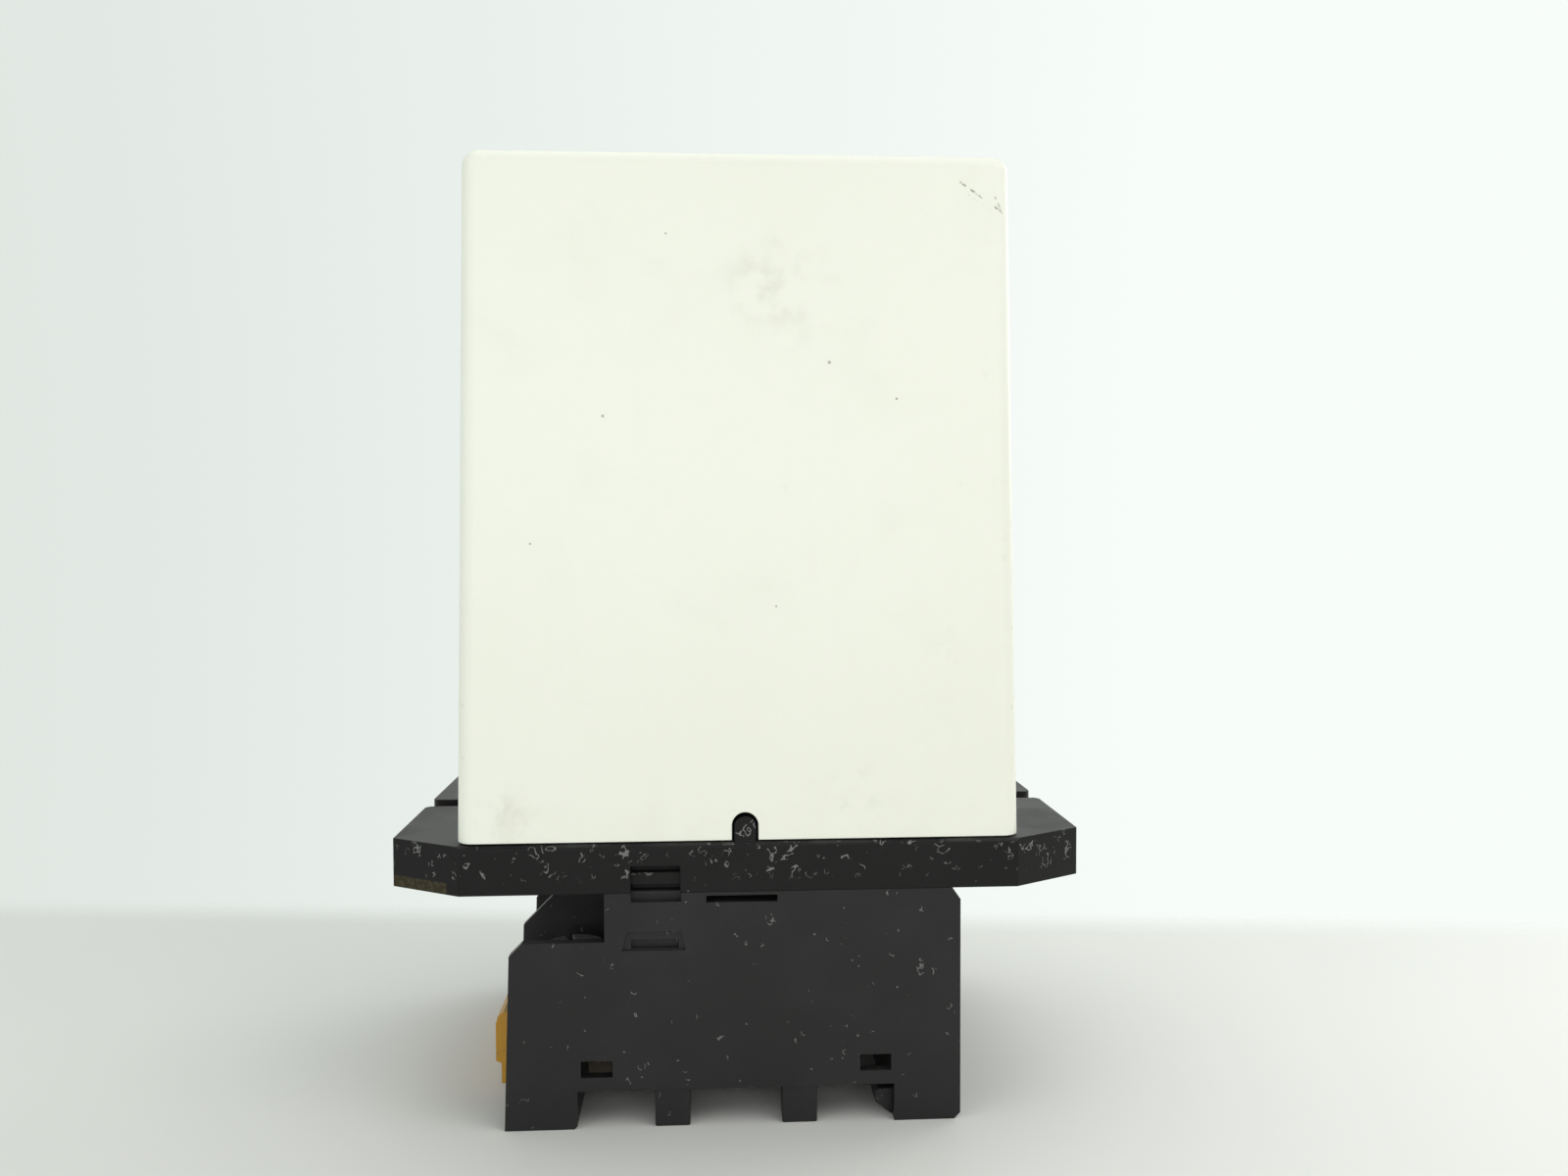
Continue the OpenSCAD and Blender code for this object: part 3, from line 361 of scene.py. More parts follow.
def laminations(name):
    """Stamped core sheets half a millimetre thick, stacked along Y under brown varnish."""
    f = Finish(name)
    sheet = abs((f.y / 0.5) % 1 - 0.5)
    gap = sheet.step(0.44, 0.49)
    varnish = f.noise(5, 4.0, 0.6, seed=2).step(0.4, 0.75)
    colour = f.mix(gap, (0.16, 0.155, 0.15), (0.02, 0.018, 0.015))
    colour = f.mix(varnish * 0.6, colour, (0.075, 0.035, 0.012))
    rust = f.noise(1.5, 4.0, seed=6).step(0.62, 0.75)
    colour = f.mix(rust * 0.4, colour, (0.2, 0.07, 0.02))
    rough = 0.42 + varnish * -0.12 + rust * 0.3
    return f.surface(colour, rough, 0.75 - varnish * 0.5, f.bump(1 - gap, 0.06, 0.8))


def enamelled_wire(name, pitch=0.45):
    """Copper wire under amber enamel, with each turn a slightly different tone."""
    f = Finish(name)
    number = f.z / pitch - (f.z / pitch) % 1
    turn = f.node("ShaderNodeTexWhiteNoise", {"noise_dimensions": "1D"}, {"W": number})
    cloud = f.noise(3, 3.0, seed=3).step(0.4, 0.8)
    colour = f.mix(turn * 0.5 + cloud * 0.3, (0.62, 0.25, 0.10), (0.40, 0.13, 0.05))
    scratch = f.noise(0.3, 2.0, place=f.stretched(1, 0.1, 3), seed=5).step(0.6, 0.7)
    colour = f.mix(scratch * 0.3, colour, (0.85, 0.48, 0.26))
    round_turn = abs((f.z / pitch) % 1 - 0.5)
    relief = f.bump(1 - round_turn * 2, 0.06, 0.6)
    return f.surface(colour, 0.24 + cloud * 0.16, 0.7, relief, Coat_Weight=0.5, Coat_Roughness=0.15)


def dark_component(name, base, mark=None, mark_from=0.0, mark_to=0.0, rough=0.45):
    """Moulded epoxy body with a matt flow texture, and a coloured band across it if it has one."""
    f = Finish(name)
    mottled = f.noise(1.2, 3.0, seed=3)
    colour = f.mix(mottled.step(0.35, 0.7), base, tuple(c * 0.65 + 0.004 for c in base))
    if mark:
        band = {"x": f.x, "y": f.y, "z": f.z}[mark[0]].between(mark_from, mark_to, 0.04)
        colour = f.mix(band * (0.85 + mottled * 0.1), colour, mark[1])
    flecks = f.specks(0.5, 0.6, seed=5)
    colour = f.mix(flecks * 0.3, colour, (0.3, 0.3, 0.28))
    relief = f.bump(f.noise(0.09, 1.0, seed=7), 0.012, 0.6)
    return f.surface(colour, rough + mottled * 0.15, normal=relief)


def chip_with_legs(name, middle, half, first_pin_x):
    """Black epoxy with a dimple by the first pin, and tinned legs above and below it."""
    f = Finish(name)
    leg = abs(f.z - middle).step(half + 0.02, half + 0.06)
    mottled = f.noise(0.8, 3.0, seed=2)
    colour = f.mix(mottled.step(0.3, 0.7), (0.014, 0.014, 0.015), (0.03, 0.03, 0.031))
    colour = f.mix(leg, colour, (0.66, 0.66, 0.64))
    dimple = ((f.x - first_pin_x) ** 2 + (f.z - middle) ** 2).root().step(0.65, 0.55)
    relief = f.bump(f.noise(0.1, 1.0, seed=5), 0.01, 0.5)
    relief = f.bump(1 - dimple, 0.15, 0.8, relief)
    return f.surface(colour, 0.5 - leg * 0.2 + mottled * 0.1, leg * 0.95, relief)


def capacitor_sleeve(name, top_z):
    """Dark blue shrink sleeve with a pale stripe of dashes, and a bare aluminium top."""
    f = Finish(name)
    lid = f.z.step(top_z - 0.35, top_z - 0.25)
    stripe = f.ny.step(-0.9, -0.95)
    dash = abs((f.z / 3.0) % 1 - 0.5).step(0.3, 0.27)
    crinkle = f.noise(1.4, 3.0, seed=2)
    colour = f.mix(crinkle.step(0.35, 0.7), (0.012, 0.022, 0.075), (0.02, 0.035, 0.11))
    colour = f.mix(stripe * 0.85, colour, (0.55, 0.58, 0.62))
    colour = f.mix(stripe * dash * 0.85, colour, (0.03, 0.04, 0.09))
    colour = f.mix(lid, colour, (0.72, 0.72, 0.71))
    turned = f.noise(0.3, 2.0, place=f.stretched(1, 0.15, 1), seed=4)
    rough = 0.26 + crinkle * 0.14 + lid * turned * 0.2
    return f.surface(colour, rough, lid * 0.95, f.bump(crinkle + lid * turned, 0.03, 0.4))


def banded_resistor(name, middle):
    """Beige lacquered body with four colour bands and tinned leads."""
    f = Finish(name)
    lead = abs(f.z - middle).step(2.78, 2.84)
    mottled = f.noise(0.9, 3.0, seed=1)
    colour = f.mix(mottled.step(0.3, 0.7), (0.60, 0.44, 0.24), (0.52, 0.36, 0.18))
    bands = ((-1.9, (0.30, 0.10, 0.02)), (-0.9, (0.02, 0.02, 0.02)), (0.1, (0.55, 0.05, 0.03)),
             (1.7, (0.50, 0.34, 0.08)))
    for height, tone in bands:
        band = (f.z - middle).between(height - 0.25, height + 0.25, 0.03)
        colour = f.mix(band, colour, tone)
    colour = f.mix(lead, colour, (0.68, 0.67, 0.64))
    return f.surface(colour, 0.3 + mottled * 0.12, lead * 0.95, f.bump(mottled, 0.04, 0.3))


def printed_face(name):
    """Charcoal printed film with a soft emboss, fine scratches and fingerprints."""
    f = Finish(name)
    haze = f.noise(7, 4.0, 0.6, seed=3).step(0.45, 0.8)
    colour = f.mix(haze * 0.5, (0.030, 0.034, 0.042), (0.055, 0.060, 0.070))
    lengthwise, crosswise = f.stretched(1, 0.05, 1, (0, 0, 0.6)), f.stretched(0.05, 1, 1, (0, 0, 0.3))
    hair = f.noise(0.5, 2.0, place=lengthwise, seed=6).step(0.64, 0.7)
    hair = hair.largest(f.noise(0.5, 2.0, place=crosswise, seed=9).step(0.66, 0.72))
    colour = f.mix(hair * 0.25, colour, (0.3, 0.3, 0.3))
    dust = f.specks(1.3, 0.6, seed=4).largest(f.fibres(1.2, 0.74, seed=5))
    colour = f.mix(dust * 0.22, colour, (0.4, 0.4, 0.38))
    rough = 0.38 + haze * 0.14 + hair * 0.1 + dust * 0.2
    relief = f.bump(f.noise(0.22, 1.0, seed=2), 0.012, 0.6)
    return f.surface(colour, rough, normal=relief)


def print_ink(name, base):
    """Opaque printing ink with small pinholes and worn patches."""
    f = Finish(name)
    worn = f.noise(1.0, 4.0, 0.6, seed=3).step(0.6, 0.85)
    colour = f.mix(worn * 0.4, base, tuple(c * 0.45 for c in base))
    return f.surface(colour, 0.45 + worn * 0.2, normal=f.bump(1 - worn, 0.01, 0.4))


def tinted_lens(name, base, glow):
    """Clear tinted lens with a faint inner glow and moulding ripples."""
    f = Finish(name)
    ripple = f.noise(0.8, 2.0, seed=2)
    colour = f.mix(ripple, base, tuple(min(1, c * 1.4 + 0.02) for c in base))
    scuff = f.noise(0.4, 3.0, seed=5).step(0.55, 0.8)
    settings = {"Transmission_Weight": 0.45, "IOR": 1.49, "Emission_Color": glow, "Emission_Strength": 0.12}
    return f.surface(colour, 0.12 + scuff * 0.2, normal=f.bump(ripple, 0.03, 0.4), **settings)


black_socket = black_moulding("black_socket_moulding", (0.0115, 0.0118, 0.0120), lint=0.5, gloss=0.3)
black_base = black_moulding("black_base_moulding", (0.0042, 0.0042, 0.0042), lint=0.65, film=0.12,
                            gloss=0.22, grime=True)
inner_black = black_moulding("black_inner_moulding", (0.022, 0.022, 0.024))
ivory = ivory_moulding("ivory_case_moulding")
yellow = coloured_moulding("yellow_slider_moulding", (0.56, 0.285, 0.018), 0.42)
zinc_steel = metal("zinc_plated_steel", (0.70, 0.71, 0.72), 0.26, (0.42, 0.40, 0.34))
yoke_steel = metal("nickel_plated_steel", (0.62, 0.60, 0.56), 0.24, (0.35, 0.31, 0.25), (0.06, 1, 1))
spring_wire = metal("spring_wire", (0.50, 0.50, 0.50), 0.22, (0.22, 0.2, 0.17), (1, 1, 1), 0.4)
brass = metal("contact_brass", (0.80, 0.58, 0.25), 0.25, (0.40, 0.22, 0.07), (0.06, 1, 1), 0.45)
tin = metal("tinned_blade_metal", (0.74, 0.73, 0.70), 0.3, (0.40, 0.36, 0.29), (1, 1, 0.05), 0.35)
solder = metal("solder_joint_metal", (0.66, 0.66, 0.65), 0.2, (0.35, 0.34, 0.3), (1, 1, 1), 0.3)
board = circuit_board("green_circuit_board")
core_iron = laminations("core_laminations")
copper_wire = enamelled_wire("enamelled_copper_wire")
fine_wire = enamelled_wire("enamelled_fine_wire", 0.3)
cream = coloured_moulding("cream_bobbin_moulding", (0.66, 0.62, 0.50), 0.4, 0.1)
face_film = printed_face("charcoal_face_film")
white_ink = print_ink("white_print_ink", (0.82, 0.83, 0.80))
dial_grey = coloured_moulding("dial_grey_moulding", (0.16, 0.165, 0.18), 0.4, 0.3)
button_blue = coloured_moulding("blue_button_moulding", (0.03, 0.12, 0.34), 0.34, 0.25)
button_red = coloured_moulding("red_button_moulding", (0.48, 0.025, 0.018), 0.34, 0.25)
lever_white = coloured_moulding("white_lever_moulding", (0.78, 0.78, 0.73), 0.38, 0.15)
lens_green = tinted_lens("green_lamp_lens", (0.05, 0.42, 0.10), (0.1, 0.9, 0.25))
lens_red = tinted_lens("red_lamp_lens", (0.55, 0.03, 0.02), (0.9, 0.08, 0.04))


# ------------------------------------------------------------------------------
# Surfaces
# ------------------------------------------------------------------------------

def piece_from(name, surfaces, finish, body, replaced=(), smooth=True):
    """One object from a list of (points in millimetres, faces), on a body, its faces turned outwards."""
    points, faces, first = [], [], 0
    for place, skin in surfaces:
        points.append(np.asarray(place, float))
        faces += [tuple(first + corner for corner in face) for face in skin]
        first += len(place)
    mesh = bpy.data.meshes.new(name)
    mesh.from_pydata((np.concatenate(points) * MM).tolist(), [], faces)
    work = bmesh.new()
    work.from_mesh(mesh)
    bmesh.ops.recalc_face_normals(work, faces=work.faces)
    work.to_mesh(mesh)
    work.free()
    mesh.polygons.foreach_set("use_smooth", np.full(len(mesh.polygons), smooth))
    return dress(name, mesh, finish, body, replaced)


def dress(name, mesh, finish, body, replaced):
    """Puts a finished mesh in the scene with its material, body, slot and the CAD nodes it stands for."""
    mesh.materials.clear()
    mesh.materials.append(finish)
    piece = bpy.data.objects.new(name, mesh)
    bpy.context.scene.collection.objects.link(piece)
    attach(piece, body)
    if replaced:
        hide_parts(*replaced)
    return piece


def grid_skin(rows, columns, closed_rows=False):
    """Quads of a grid whose columns close on themselves; without closed rows, a pole point caps each end."""
    row = np.arange(rows if closed_rows else rows - 1)[:, None]
    column = np.arange(columns)[None, :]
    beside, above = (column + 1) % columns, (row + 1) % rows
    quads = np.stack([row * columns + column, row * columns + beside, above * columns + beside,
                      above * columns + column], -1).reshape(-1, 4).tolist()
    if closed_rows:
        return quads
    ring = np.arange(columns)
    turned = np.roll(ring, -1)
    start = np.stack([turned, ring, np.full(columns, rows * columns)], -1).tolist()
    last = (rows - 1) * columns
    end = np.stack([last + ring, last + turned, np.full(columns, rows * columns + 1)], -1).tolist()
    return quads + start + end


def stack(centre, half_x, half_y, corner, profile, per_corner=6, closed_rows=False):
    """Rounded rectangles stacked along Z. A loop's point at angle u is (sign(cos u) (half_x - corner),
    sign(sin u) (half_y - corner)) + (corner + offset)(cos u, sin u), and profile lists each loop's
    (offset, height). Equal halves and corner give a round shape."""
    u = (np.arange(4)[:, None] * 90 + np.linspace(0, 90, per_corner)[None, :]).ravel()
    quarter = np.repeat(np.arange(4), per_corner)
    sign_x = np.array([1, -1, -1, 1])[quarter]
    sign_y = np.array([1, 1, -1, -1])[quarter]
    across = np.stack([np.cos(np.radians(u)), np.sin(np.radians(u))], -1)
    inner = np.stack([sign_x * (half_x - corner), sign_y * (half_y - corner)], -1)
    offset, height = np.array(profile, float).T
    loop = inner[None] + (corner + offset)[:, None, None] * across[None]
    rings = np.concatenate([loop, np.broadcast_to(height[:, None, None], (*loop.shape[:2], 1))], -1)
    points = rings.reshape(-1, 3)
    if not closed_rows:
        points = np.concatenate([points, [[0, 0, height[0]], [0, 0, height[-1]]]])
    return points + np.array(centre, float), grid_skin(len(offset), len(u), closed_rows)


def tube(path, radius, along, sides=10):
    """A round bar: at each path point a circle of the radius, in the plane of n = along x tangent and
    b = tangent x n, so that a ring point is p + radius (cos v n + sin v b)."""
    path = np.asarray(path, float)
    tangent = np.gradient(path, axis=0)
    tangent /= np.linalg.norm(tangent, axis=1)[:, None]
    n = np.cross(np.array(along, float), tangent)
    n /= np.linalg.norm(n, axis=1)[:, None]
    b = np.cross(tangent, n)
    v = np.linspace(0, 2 * np.pi, sides, endpoint=False)
    around = np.cos(v)[None, :, None] * n[:, None] + np.sin(v)[None, :, None] * b[:, None]
    rings = path[:, None] + radius * around
    points = np.concatenate([rings.reshape(-1, 3), path[:1], path[-1:]])
    return points, grid_skin(len(path), sides)


def coil_path(radius, length, turns, steps=28):
    """Wire centre of a coil spring with closed ends: (r cos a, r sin a, h), a = 360 turns t, with h rising by
    0.3 length t over the first and last 0.12 and evenly between."""
    t = np.linspace(0, 1, turns * steps + 1)
    rise = np.interp(t, [0, 0.12, 0.88, 1], [0, 0.036, 0.964, 1])
    angle = 2 * np.pi * turns * t
    return np.stack([radius * np.cos(angle), radius * np.sin(angle), rise * length], -1)


def arc_plate(centre, inner, outer, start, end, low, high):
    """A flat ring sector: r from inner to outer, angle from start to end in degrees, z from low to high."""
    angle = np.radians(np.linspace(start, end, max(2, int(abs(end - start) / 4) + 2)))
    around = np.stack([np.cos(angle), np.sin(angle)], -1)
    corners = [(inner, low), (outer, low), (outer, high), (inner, high)]
    rings = [np.concatenate([around * r, np.full((len(angle), 1), z)], -1) for r, z in corners]
    points = np.stack(rings, 1).reshape(-1, 3)
    points = np.concatenate([points, points[:4].mean(0)[None], points[-4:].mean(0)[None]])
    return points + np.array([*centre, 0.0]), grid_skin(len(angle), 4)


def figure(text, size, centre, low, high):
    """A figure drawn as a flat raised shape, centred on a place."""
    curve = bpy.data.curves.new("figure", "FONT")
    curve.body = text
    curve.size = size
    curve.align_x = "CENTER"
    curve.align_y = "CENTER"
    curve.extrude = (high - low) / 2
    curve.resolution_u = 4
    drawn = bpy.data.objects.new("figure", curve)
    bpy.context.scene.collection.objects.link(drawn)
    bpy.context.view_layer.update()
    mesh = bpy.data.meshes.new_from_object(drawn.evaluated_get(bpy.context.evaluated_depsgraph_get()))
    points = np.zeros(len(mesh.vertices) * 3)
    mesh.vertices.foreach_get("co", points)
    faces = [tuple(face.vertices) for face in mesh.polygons]
    bpy.data.objects.remove(drawn)
    bpy.data.meshes.remove(mesh)
    return points.reshape(-1, 3) + np.array([*centre, (low + high) / 2]), faces


# ------------------------------------------------------------------------------
# Moulded and stamped parts, with soft edges
# ------------------------------------------------------------------------------

def soften(node, finish, width, segments=2, angle=30):
    """Stands in for a CAD node: its own shape, welded, with edges rounded over width millimetres. Flat faces
    with windows in them are cut into triangles, which keeps the windows open."""
    source = nodes[node]
    mesh = source.data.copy()
    work = bmesh.new()
    work.from_mesh(mesh)
    bmesh.ops.remove_doubles(work, verts=work.verts, dist=0.002 * MM)
    bmesh.ops.dissolve_limit(work, angle_limit=math.radians(0.6), verts=work.verts, edges=work.edges,
                             delimit={"NORMAL"})
    if node in WINDOWED:
        many_sided = [face for face in work.faces if len(face.verts) > 4]
        bmesh.ops.triangulate(work, faces=many_sided, ngon_method="BEAUTY")
    for edge in work.edges:
        edge.smooth = edge.calc_face_angle(0) < math.radians(angle)
    for face in work.faces:
        face.smooth = True
    work.to_mesh(mesh)
    work.free()
    if "custom_normal" in mesh.attributes:
        mesh.attributes.remove(mesh.attributes["custom_normal"])
    piece = dress(node + "_shape", mesh, finish, body_of[node], (node,))
    if width:
        bevel = piece.modifiers.new("edges", "BEVEL")
        bevel.width = width * MM
        bevel.segments = segments
        bevel.limit_method = "ANGLE"
        bevel.angle_limit = math.radians(angle)
        bevel.miter_outer = "MITER_ARC"
        bevel.use_clamp_overlap = True
        bevel.harden_normals = node in WINDOWED
    if node not in WINDOWED:
        weighted = piece.modifiers.new("flats", "WEIGHTED_NORMAL")
        weighted.keep_sharp = True


body_of = {node: body for body, members in frame["record"]["behaviour"]["bodies"].items() for node in members}

# Nodes whose flat faces have windows in them
WINDOWED = ("socket_housing", "din_slider", "transformer_bobbin")

sleeve = capacitor_sleeve("capacitor_sleeve", 49.1)
film_epoxy = dark_component("film_capacitor_epoxy", (0.42, 0.03, 0.02), rough=0.3)
varistor_epoxy = dark_component("varistor_epoxy", (0.03, 0.09, 0.30), rough=0.3)
diode_epoxy = dark_component("diode_epoxy", (0.02, 0.02, 0.022), ("y", (0.7, 0.7, 0.68)), -1.5, -0.9)
regulator_epoxy = dark_component("regulator_epoxy", (0.02, 0.02, 0.022), ("z", (0.6, 0.6, 0.6)), 46.1, 60)
logic_epoxy = chip_with_legs("logic_chip_epoxy", 76, 3.2, -9.0)
driver_epoxy = chip_with_legs("driver_chip_epoxy", 62, 3.2, -16.0)
resistor_lacquer = banded_resistor("resistor_lacquer", 63)
pot_body = dark_component("potentiometer_body", (0.04, 0.10, 0.22), rough=0.4)
tact_body = dark_component("tact_switch_body", (0.03, 0.03, 0.032), ("z", (0.62, 0.62, 0.6)), 101.1, 101.5)
slide_body = dark_component("mode_switch_body_plastic", (0.03, 0.03, 0.035), rough=0.5)

# Node: finish, edge width in millimetres, and the steps round an edge where there are more than two
SHAPES = {
    "socket_housing": (black_socket, 0.16),
    "socket_bottom_cover": (black_socket, 0.15),
    "din_slider": (yellow, 0.2),
    "relay_base": (black_base, 0.35, 3),
    "case_cover": (ivory, 0.18),
    "face_plate": (face_film, 0.08),
    "level_dial": (dial_grey, 0.12),
    "delay_dial": (dial_grey, 0.12),
    "test_button": (button_blue, 0.1),
    "reset_button": (button_red, 0.1),
    "mode_lever_left": (lever_white, 0.22),
    "mode_lever_right": (lever_white, 0.22),
    "power_lamp": (lens_green, 0),
    "trip_lamp": (lens_red, 0),
    "terminal_screws_left": (zinc_steel, 0.22),
    "terminal_screws_right": (zinc_steel, 0.22),
    "clamp_washers_left": (zinc_steel, 0.1),
    "clamp_washers_right": (zinc_steel, 0.1),
    "terminal_strips": (brass, 0.08),
    "contact_clips": (brass, 0.05),
    "plug_blades": (tin, 0.12),
    "base_board": (board, 0.06),
    "base_board_screws": (zinc_steel, 0.12),
    "transformer_core": (core_iron, 0.1),
    "transformer_bobbin": (inner_black, 0.12),
    "smoothing_capacitors": (sleeve, 0.2),
    "film_capacitor": (film_epoxy, 0.25),
    "varistor": (varistor_epoxy, 0.6),
    "rectifier_diodes": (diode_epoxy, 0.1),
    "voltage_regulator": (regulator_epoxy, 0.12),
    "output_relay_base": (inner_black, 0.15),
    "output_relay_yoke": (yoke_steel, 0.1),
    "output_relay_core": (yoke_steel, 0.1),
    "output_relay_bobbin": (cream, 0.08),
    "output_relay_armature": (yoke_steel, 0.1),
    "output_relay_contact_spring": (brass, 0.05),
    "output_relay_fixed_contact": (brass, 0.06),
    "logic_board": (board, 0.06),
    "control_board": (board, 0.06),
    "board_headers": (inner_black, 0.1),
    "logic_chip": (logic_epoxy, 0.1),
    "driver_chip": (driver_epoxy, 0.1),
    "resistors": (resistor_lacquer, 0.15),
    "dial_potentiometers": (pot_body, 0.15),
    "tact_switches": (tact_body, 0.1),
    "mode_switch_body": (slide_body, 0.12),
}


def soften_nodes():
    for node, look in SHAPES.items():
        soften(node, *look)


def socket_springs():
    """The two coils behind the rail slider, lying along X."""
    low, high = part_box("slider_springs")
    left, right, middle = low.x / MM, high.x / MM, (low.z + high.z) / 2 / MM
    wire = 0.225
    coils = []
    for side in (-1, 1):
        along = coil_path(1.7, right - left - 2 * wire, 4)
        path = np.stack([left + wire + along[:, 2], side * 5 + along[:, 0], middle + along[:, 1]], -1)
        coils.append(tube(path, wire, (1, 0, 0)))
    piece = piece_from("slider_spring_coils", coils, spring_wire, "socket",
                       ("slider_springs",))
    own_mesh(piece)


def upright_spring(node, coil_radius, wire, turns, body):
    """A coil standing along Z in its CAD node's box."""
    low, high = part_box(node)
    centre = (low + high) / 2 / MM
    height = (high.z - low.z) / MM
    path = coil_path(coil_radius, height - wire, turns)
    path += (centre.x, centre.y, low.z / MM + wire / 2)
    name = node + "_coil"
    piece = piece_from(name, [tube(path, wire / 2, (0, 0, 1))], spring_wire, body, (node,))
    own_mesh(piece)


def wound_coil(name, node, centre, halves, corner, hole, hole_corner, low, high, pitch, finish):
    """Wire wound on a bobbin: the outer wall bulges once per turn by 0.13 |sin(180 z / pitch)|, and the inner
    wall is smooth."""
    corner_steps = 7
    height = np.linspace(low, high, int((high - low) / pitch * 6) + 1)
    bulge = 0.13 * np.abs(np.sin(np.pi * (height - low) / pitch)) - 0.13
    outer, _ = stack(centre, *halves, corner, np.stack([bulge, height], -1), corner_steps)
    inner, _ = stack(centre, *hole, hole_corner, [(0, high), (0, low)], corner_steps)
    columns = 4 * corner_steps
    rows = np.concatenate([outer[:-2], inner[:-2]])
    surface = (rows, grid_skin(len(rows) // columns, columns, True))
    piece_from(name, [surface], finish, "relay", (node,))


def windings():
    low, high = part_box("transformer_winding")
    middle = (low + high) / 2 / MM
    halves = ((high.x - low.x) / 2 / MM, (high.y - low.y) / 2 / MM)
    wound_coil("transformer_winding_turns", "transformer_winding", (middle.x, middle.y, 0), halves, 3.0,
               (4.85, 7.85), 0.3, low.z / MM, high.z / MM, 0.45, copper_wire)
    low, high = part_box("output_relay_winding")
    middle = (low + high) / 2 / MM
    radius = (high.x - low.x) / 2 / MM
    hole = 2.86
    wound_coil("output_relay_winding_turns", "output_relay_winding", (middle.x, middle.y, 0),
               (radius, radius), radius, (hole, hole), hole, low.z / MM, high.z / MM, 0.3, fine_wire)


def board_details():
    """Solder round the blades' ends, and the transformer's four leads, which go out from its winding by
    1.45 (1 - (1 - t)^5) while they drop 9 t^1.6 to the board."""
    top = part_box("base_board")[1].z / MM
    cone = [(0.6, top), (0.55, top + 0.06), (0.1, top + 0.2), (-0.25, top + 0.5), (-0.4, top + 0.85)]
    pitch, rows, blades_x = 12.1, (-1.5, -0.5, 0.5, 1.5), (-7.5, 5)
    joints = [stack((x, row * pitch, 0), 1.12, 0.85, 0.8, cone) for x in blades_x for row in rows]
    piece_from("blade_solder_joints", joints, solder, "relay")
    leads = []
    for x, side in ((-17.5, -1), (-14.0, -1), (-6.0, 1), (-2.5, 1)):
        t = np.linspace(0, 1, 18)
        reach = side * (12.9 + 1.45 * (1 - (1 - t) ** 5))
        drop = top + 0.02 + 9 * (1 - t ** 1.6)
        leads.append(tube(np.stack([np.full_like(t, x), reach, drop], -1), 0.22, (1, 0, 0), 8))
    piece_from("winding_leads", leads, fine_wire, "relay")


DIALS = {"level_dial": -13, "delay_dial": 13}
DIAL_Y = 4.5
ROW_Y = -13
BUTTONS_X = (-19, -8)
LEVERS_X = (3.5, 8)
LAMPS_X = (14.5, 20.5)


def face_markings():
    """Scales, figures and frames printed on the control face."""
    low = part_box("face_plate")[1].z / MM - 0.01
    high = low + 0.05
    marks = []
    for x in DIALS.values():
        centre = (x, DIAL_Y)
        marks.append(arc_plate(centre, 6.55, 6.7, -50, 230, low, high))
        for step in range(21):
            angle = 230 - 14 * step
            reach = 7.7 if step % 2 == 0 else 7.2
            half = 0.9 if step % 2 == 0 else 0.55
            marks.append(arc_plate(centre, 6.6, reach, angle - half, angle + half, low, high))
            if step % 4 == 0:
                turn = math.radians(angle)
                place = (x + 9.1 * math.cos(turn), DIAL_Y + 9.1 * math.sin(turn))
                marks.append(figure(str(step // 2), 2.1, place, low, high))
    for x in BUTTONS_X:
        marks.append(arc_plate((x, ROW_Y), 3.3, 3.5, 0, 359.9, low, high))
    for x in LAMPS_X:
        marks.append(arc_plate((x, ROW_Y), 2.1, 2.25, 0, 359.9, low, high))
    for x in LEVERS_X:
        for place, text in ((-16.8, "0"), (-9.2, "1")):
            marks.append(figure(text, 1.7, (x, place), low, high))
    frame_line = [(0, low), (0, high), (-0.18, high), (-0.18, low)]
    for centre, halves in (((0, DIAL_Y, 0), (24.2, 13.4)), ((0, ROW_Y, 0), (24.2, 4.8))):
        marks.append(stack(centre, *halves, 1.2, frame_line, 6, True))
    piece_from("face_markings", marks, white_ink, "relay", smooth=False)


def dial_pointers():
    """White bars set in the pointer grooves of the dials."""
    for dial, x in DIALS.items():
        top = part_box(dial)[1].z / MM
        bar = [(-0.06, top - 0.49), (0, top - 0.43), (0, top - 0.14), (-0.08, top - 0.06)]
        surface = stack((x, DIAL_Y + 2.55, 0), 0.44, 1.95, 0.2, bar)
        piece_from(dial + "_pointer", [surface], white_ink, dial)


# ------------------------------------------------------------------------------
# Table, light and camera
# ------------------------------------------------------------------------------

def table():
    """A level pale table, its points in rows parallel to the far edge y = edge - slant x, where it fades. Its
    colour holds painted shade on the left and painted light on the right.
    """
    edge, slant = 64, 0.114
    f = Finish("pale_table")
    cloud = f.noise(60, 3.0, seed=2)
    # Painted light: the colour runs from painted shade on the left to painted light on the right, as if lit
    # by the key lamp on the right
    across = f.x.step(-120, 160)
    base = f.mix(across, TABLE_SHADED_LEFT, TABLE_LIT_RIGHT)
    colour = f.mix(cloud * 0.05, base, (0.6, 0.6, 0.58))
    fade = (f.y + f.x * slant).step(edge, edge - 16)
    paper = f.bump(f.noise(0.8, 2.0, seed=4), 0.02, 0.3)
    finish = f.surface(colour, 0.5 + cloud * 0.12, normal=paper, Alpha=fade)
    x, y = np.meshgrid(np.linspace(-900, 900, 9), np.array([-900, -300, 0, edge]))
    points = np.stack([x, y - slant * x, 0 * x], -1).reshape(-1, 3) * MM
    rows, columns = x.shape
    first = (np.arange(rows - 1)[:, None] * columns + np.arange(columns - 1)[None, :]).ravel()
    faces = np.stack([first, first + 1, first + columns + 1, first + columns], -1).tolist()
    mesh = bpy.data.meshes.new("table")
    mesh.from_pydata(points.tolist(), [], faces)
    mesh.materials.append(finish)
    floor = bpy.data.objects.new("table", mesh)
    bpy.context.scene.collection.objects.link(floor)


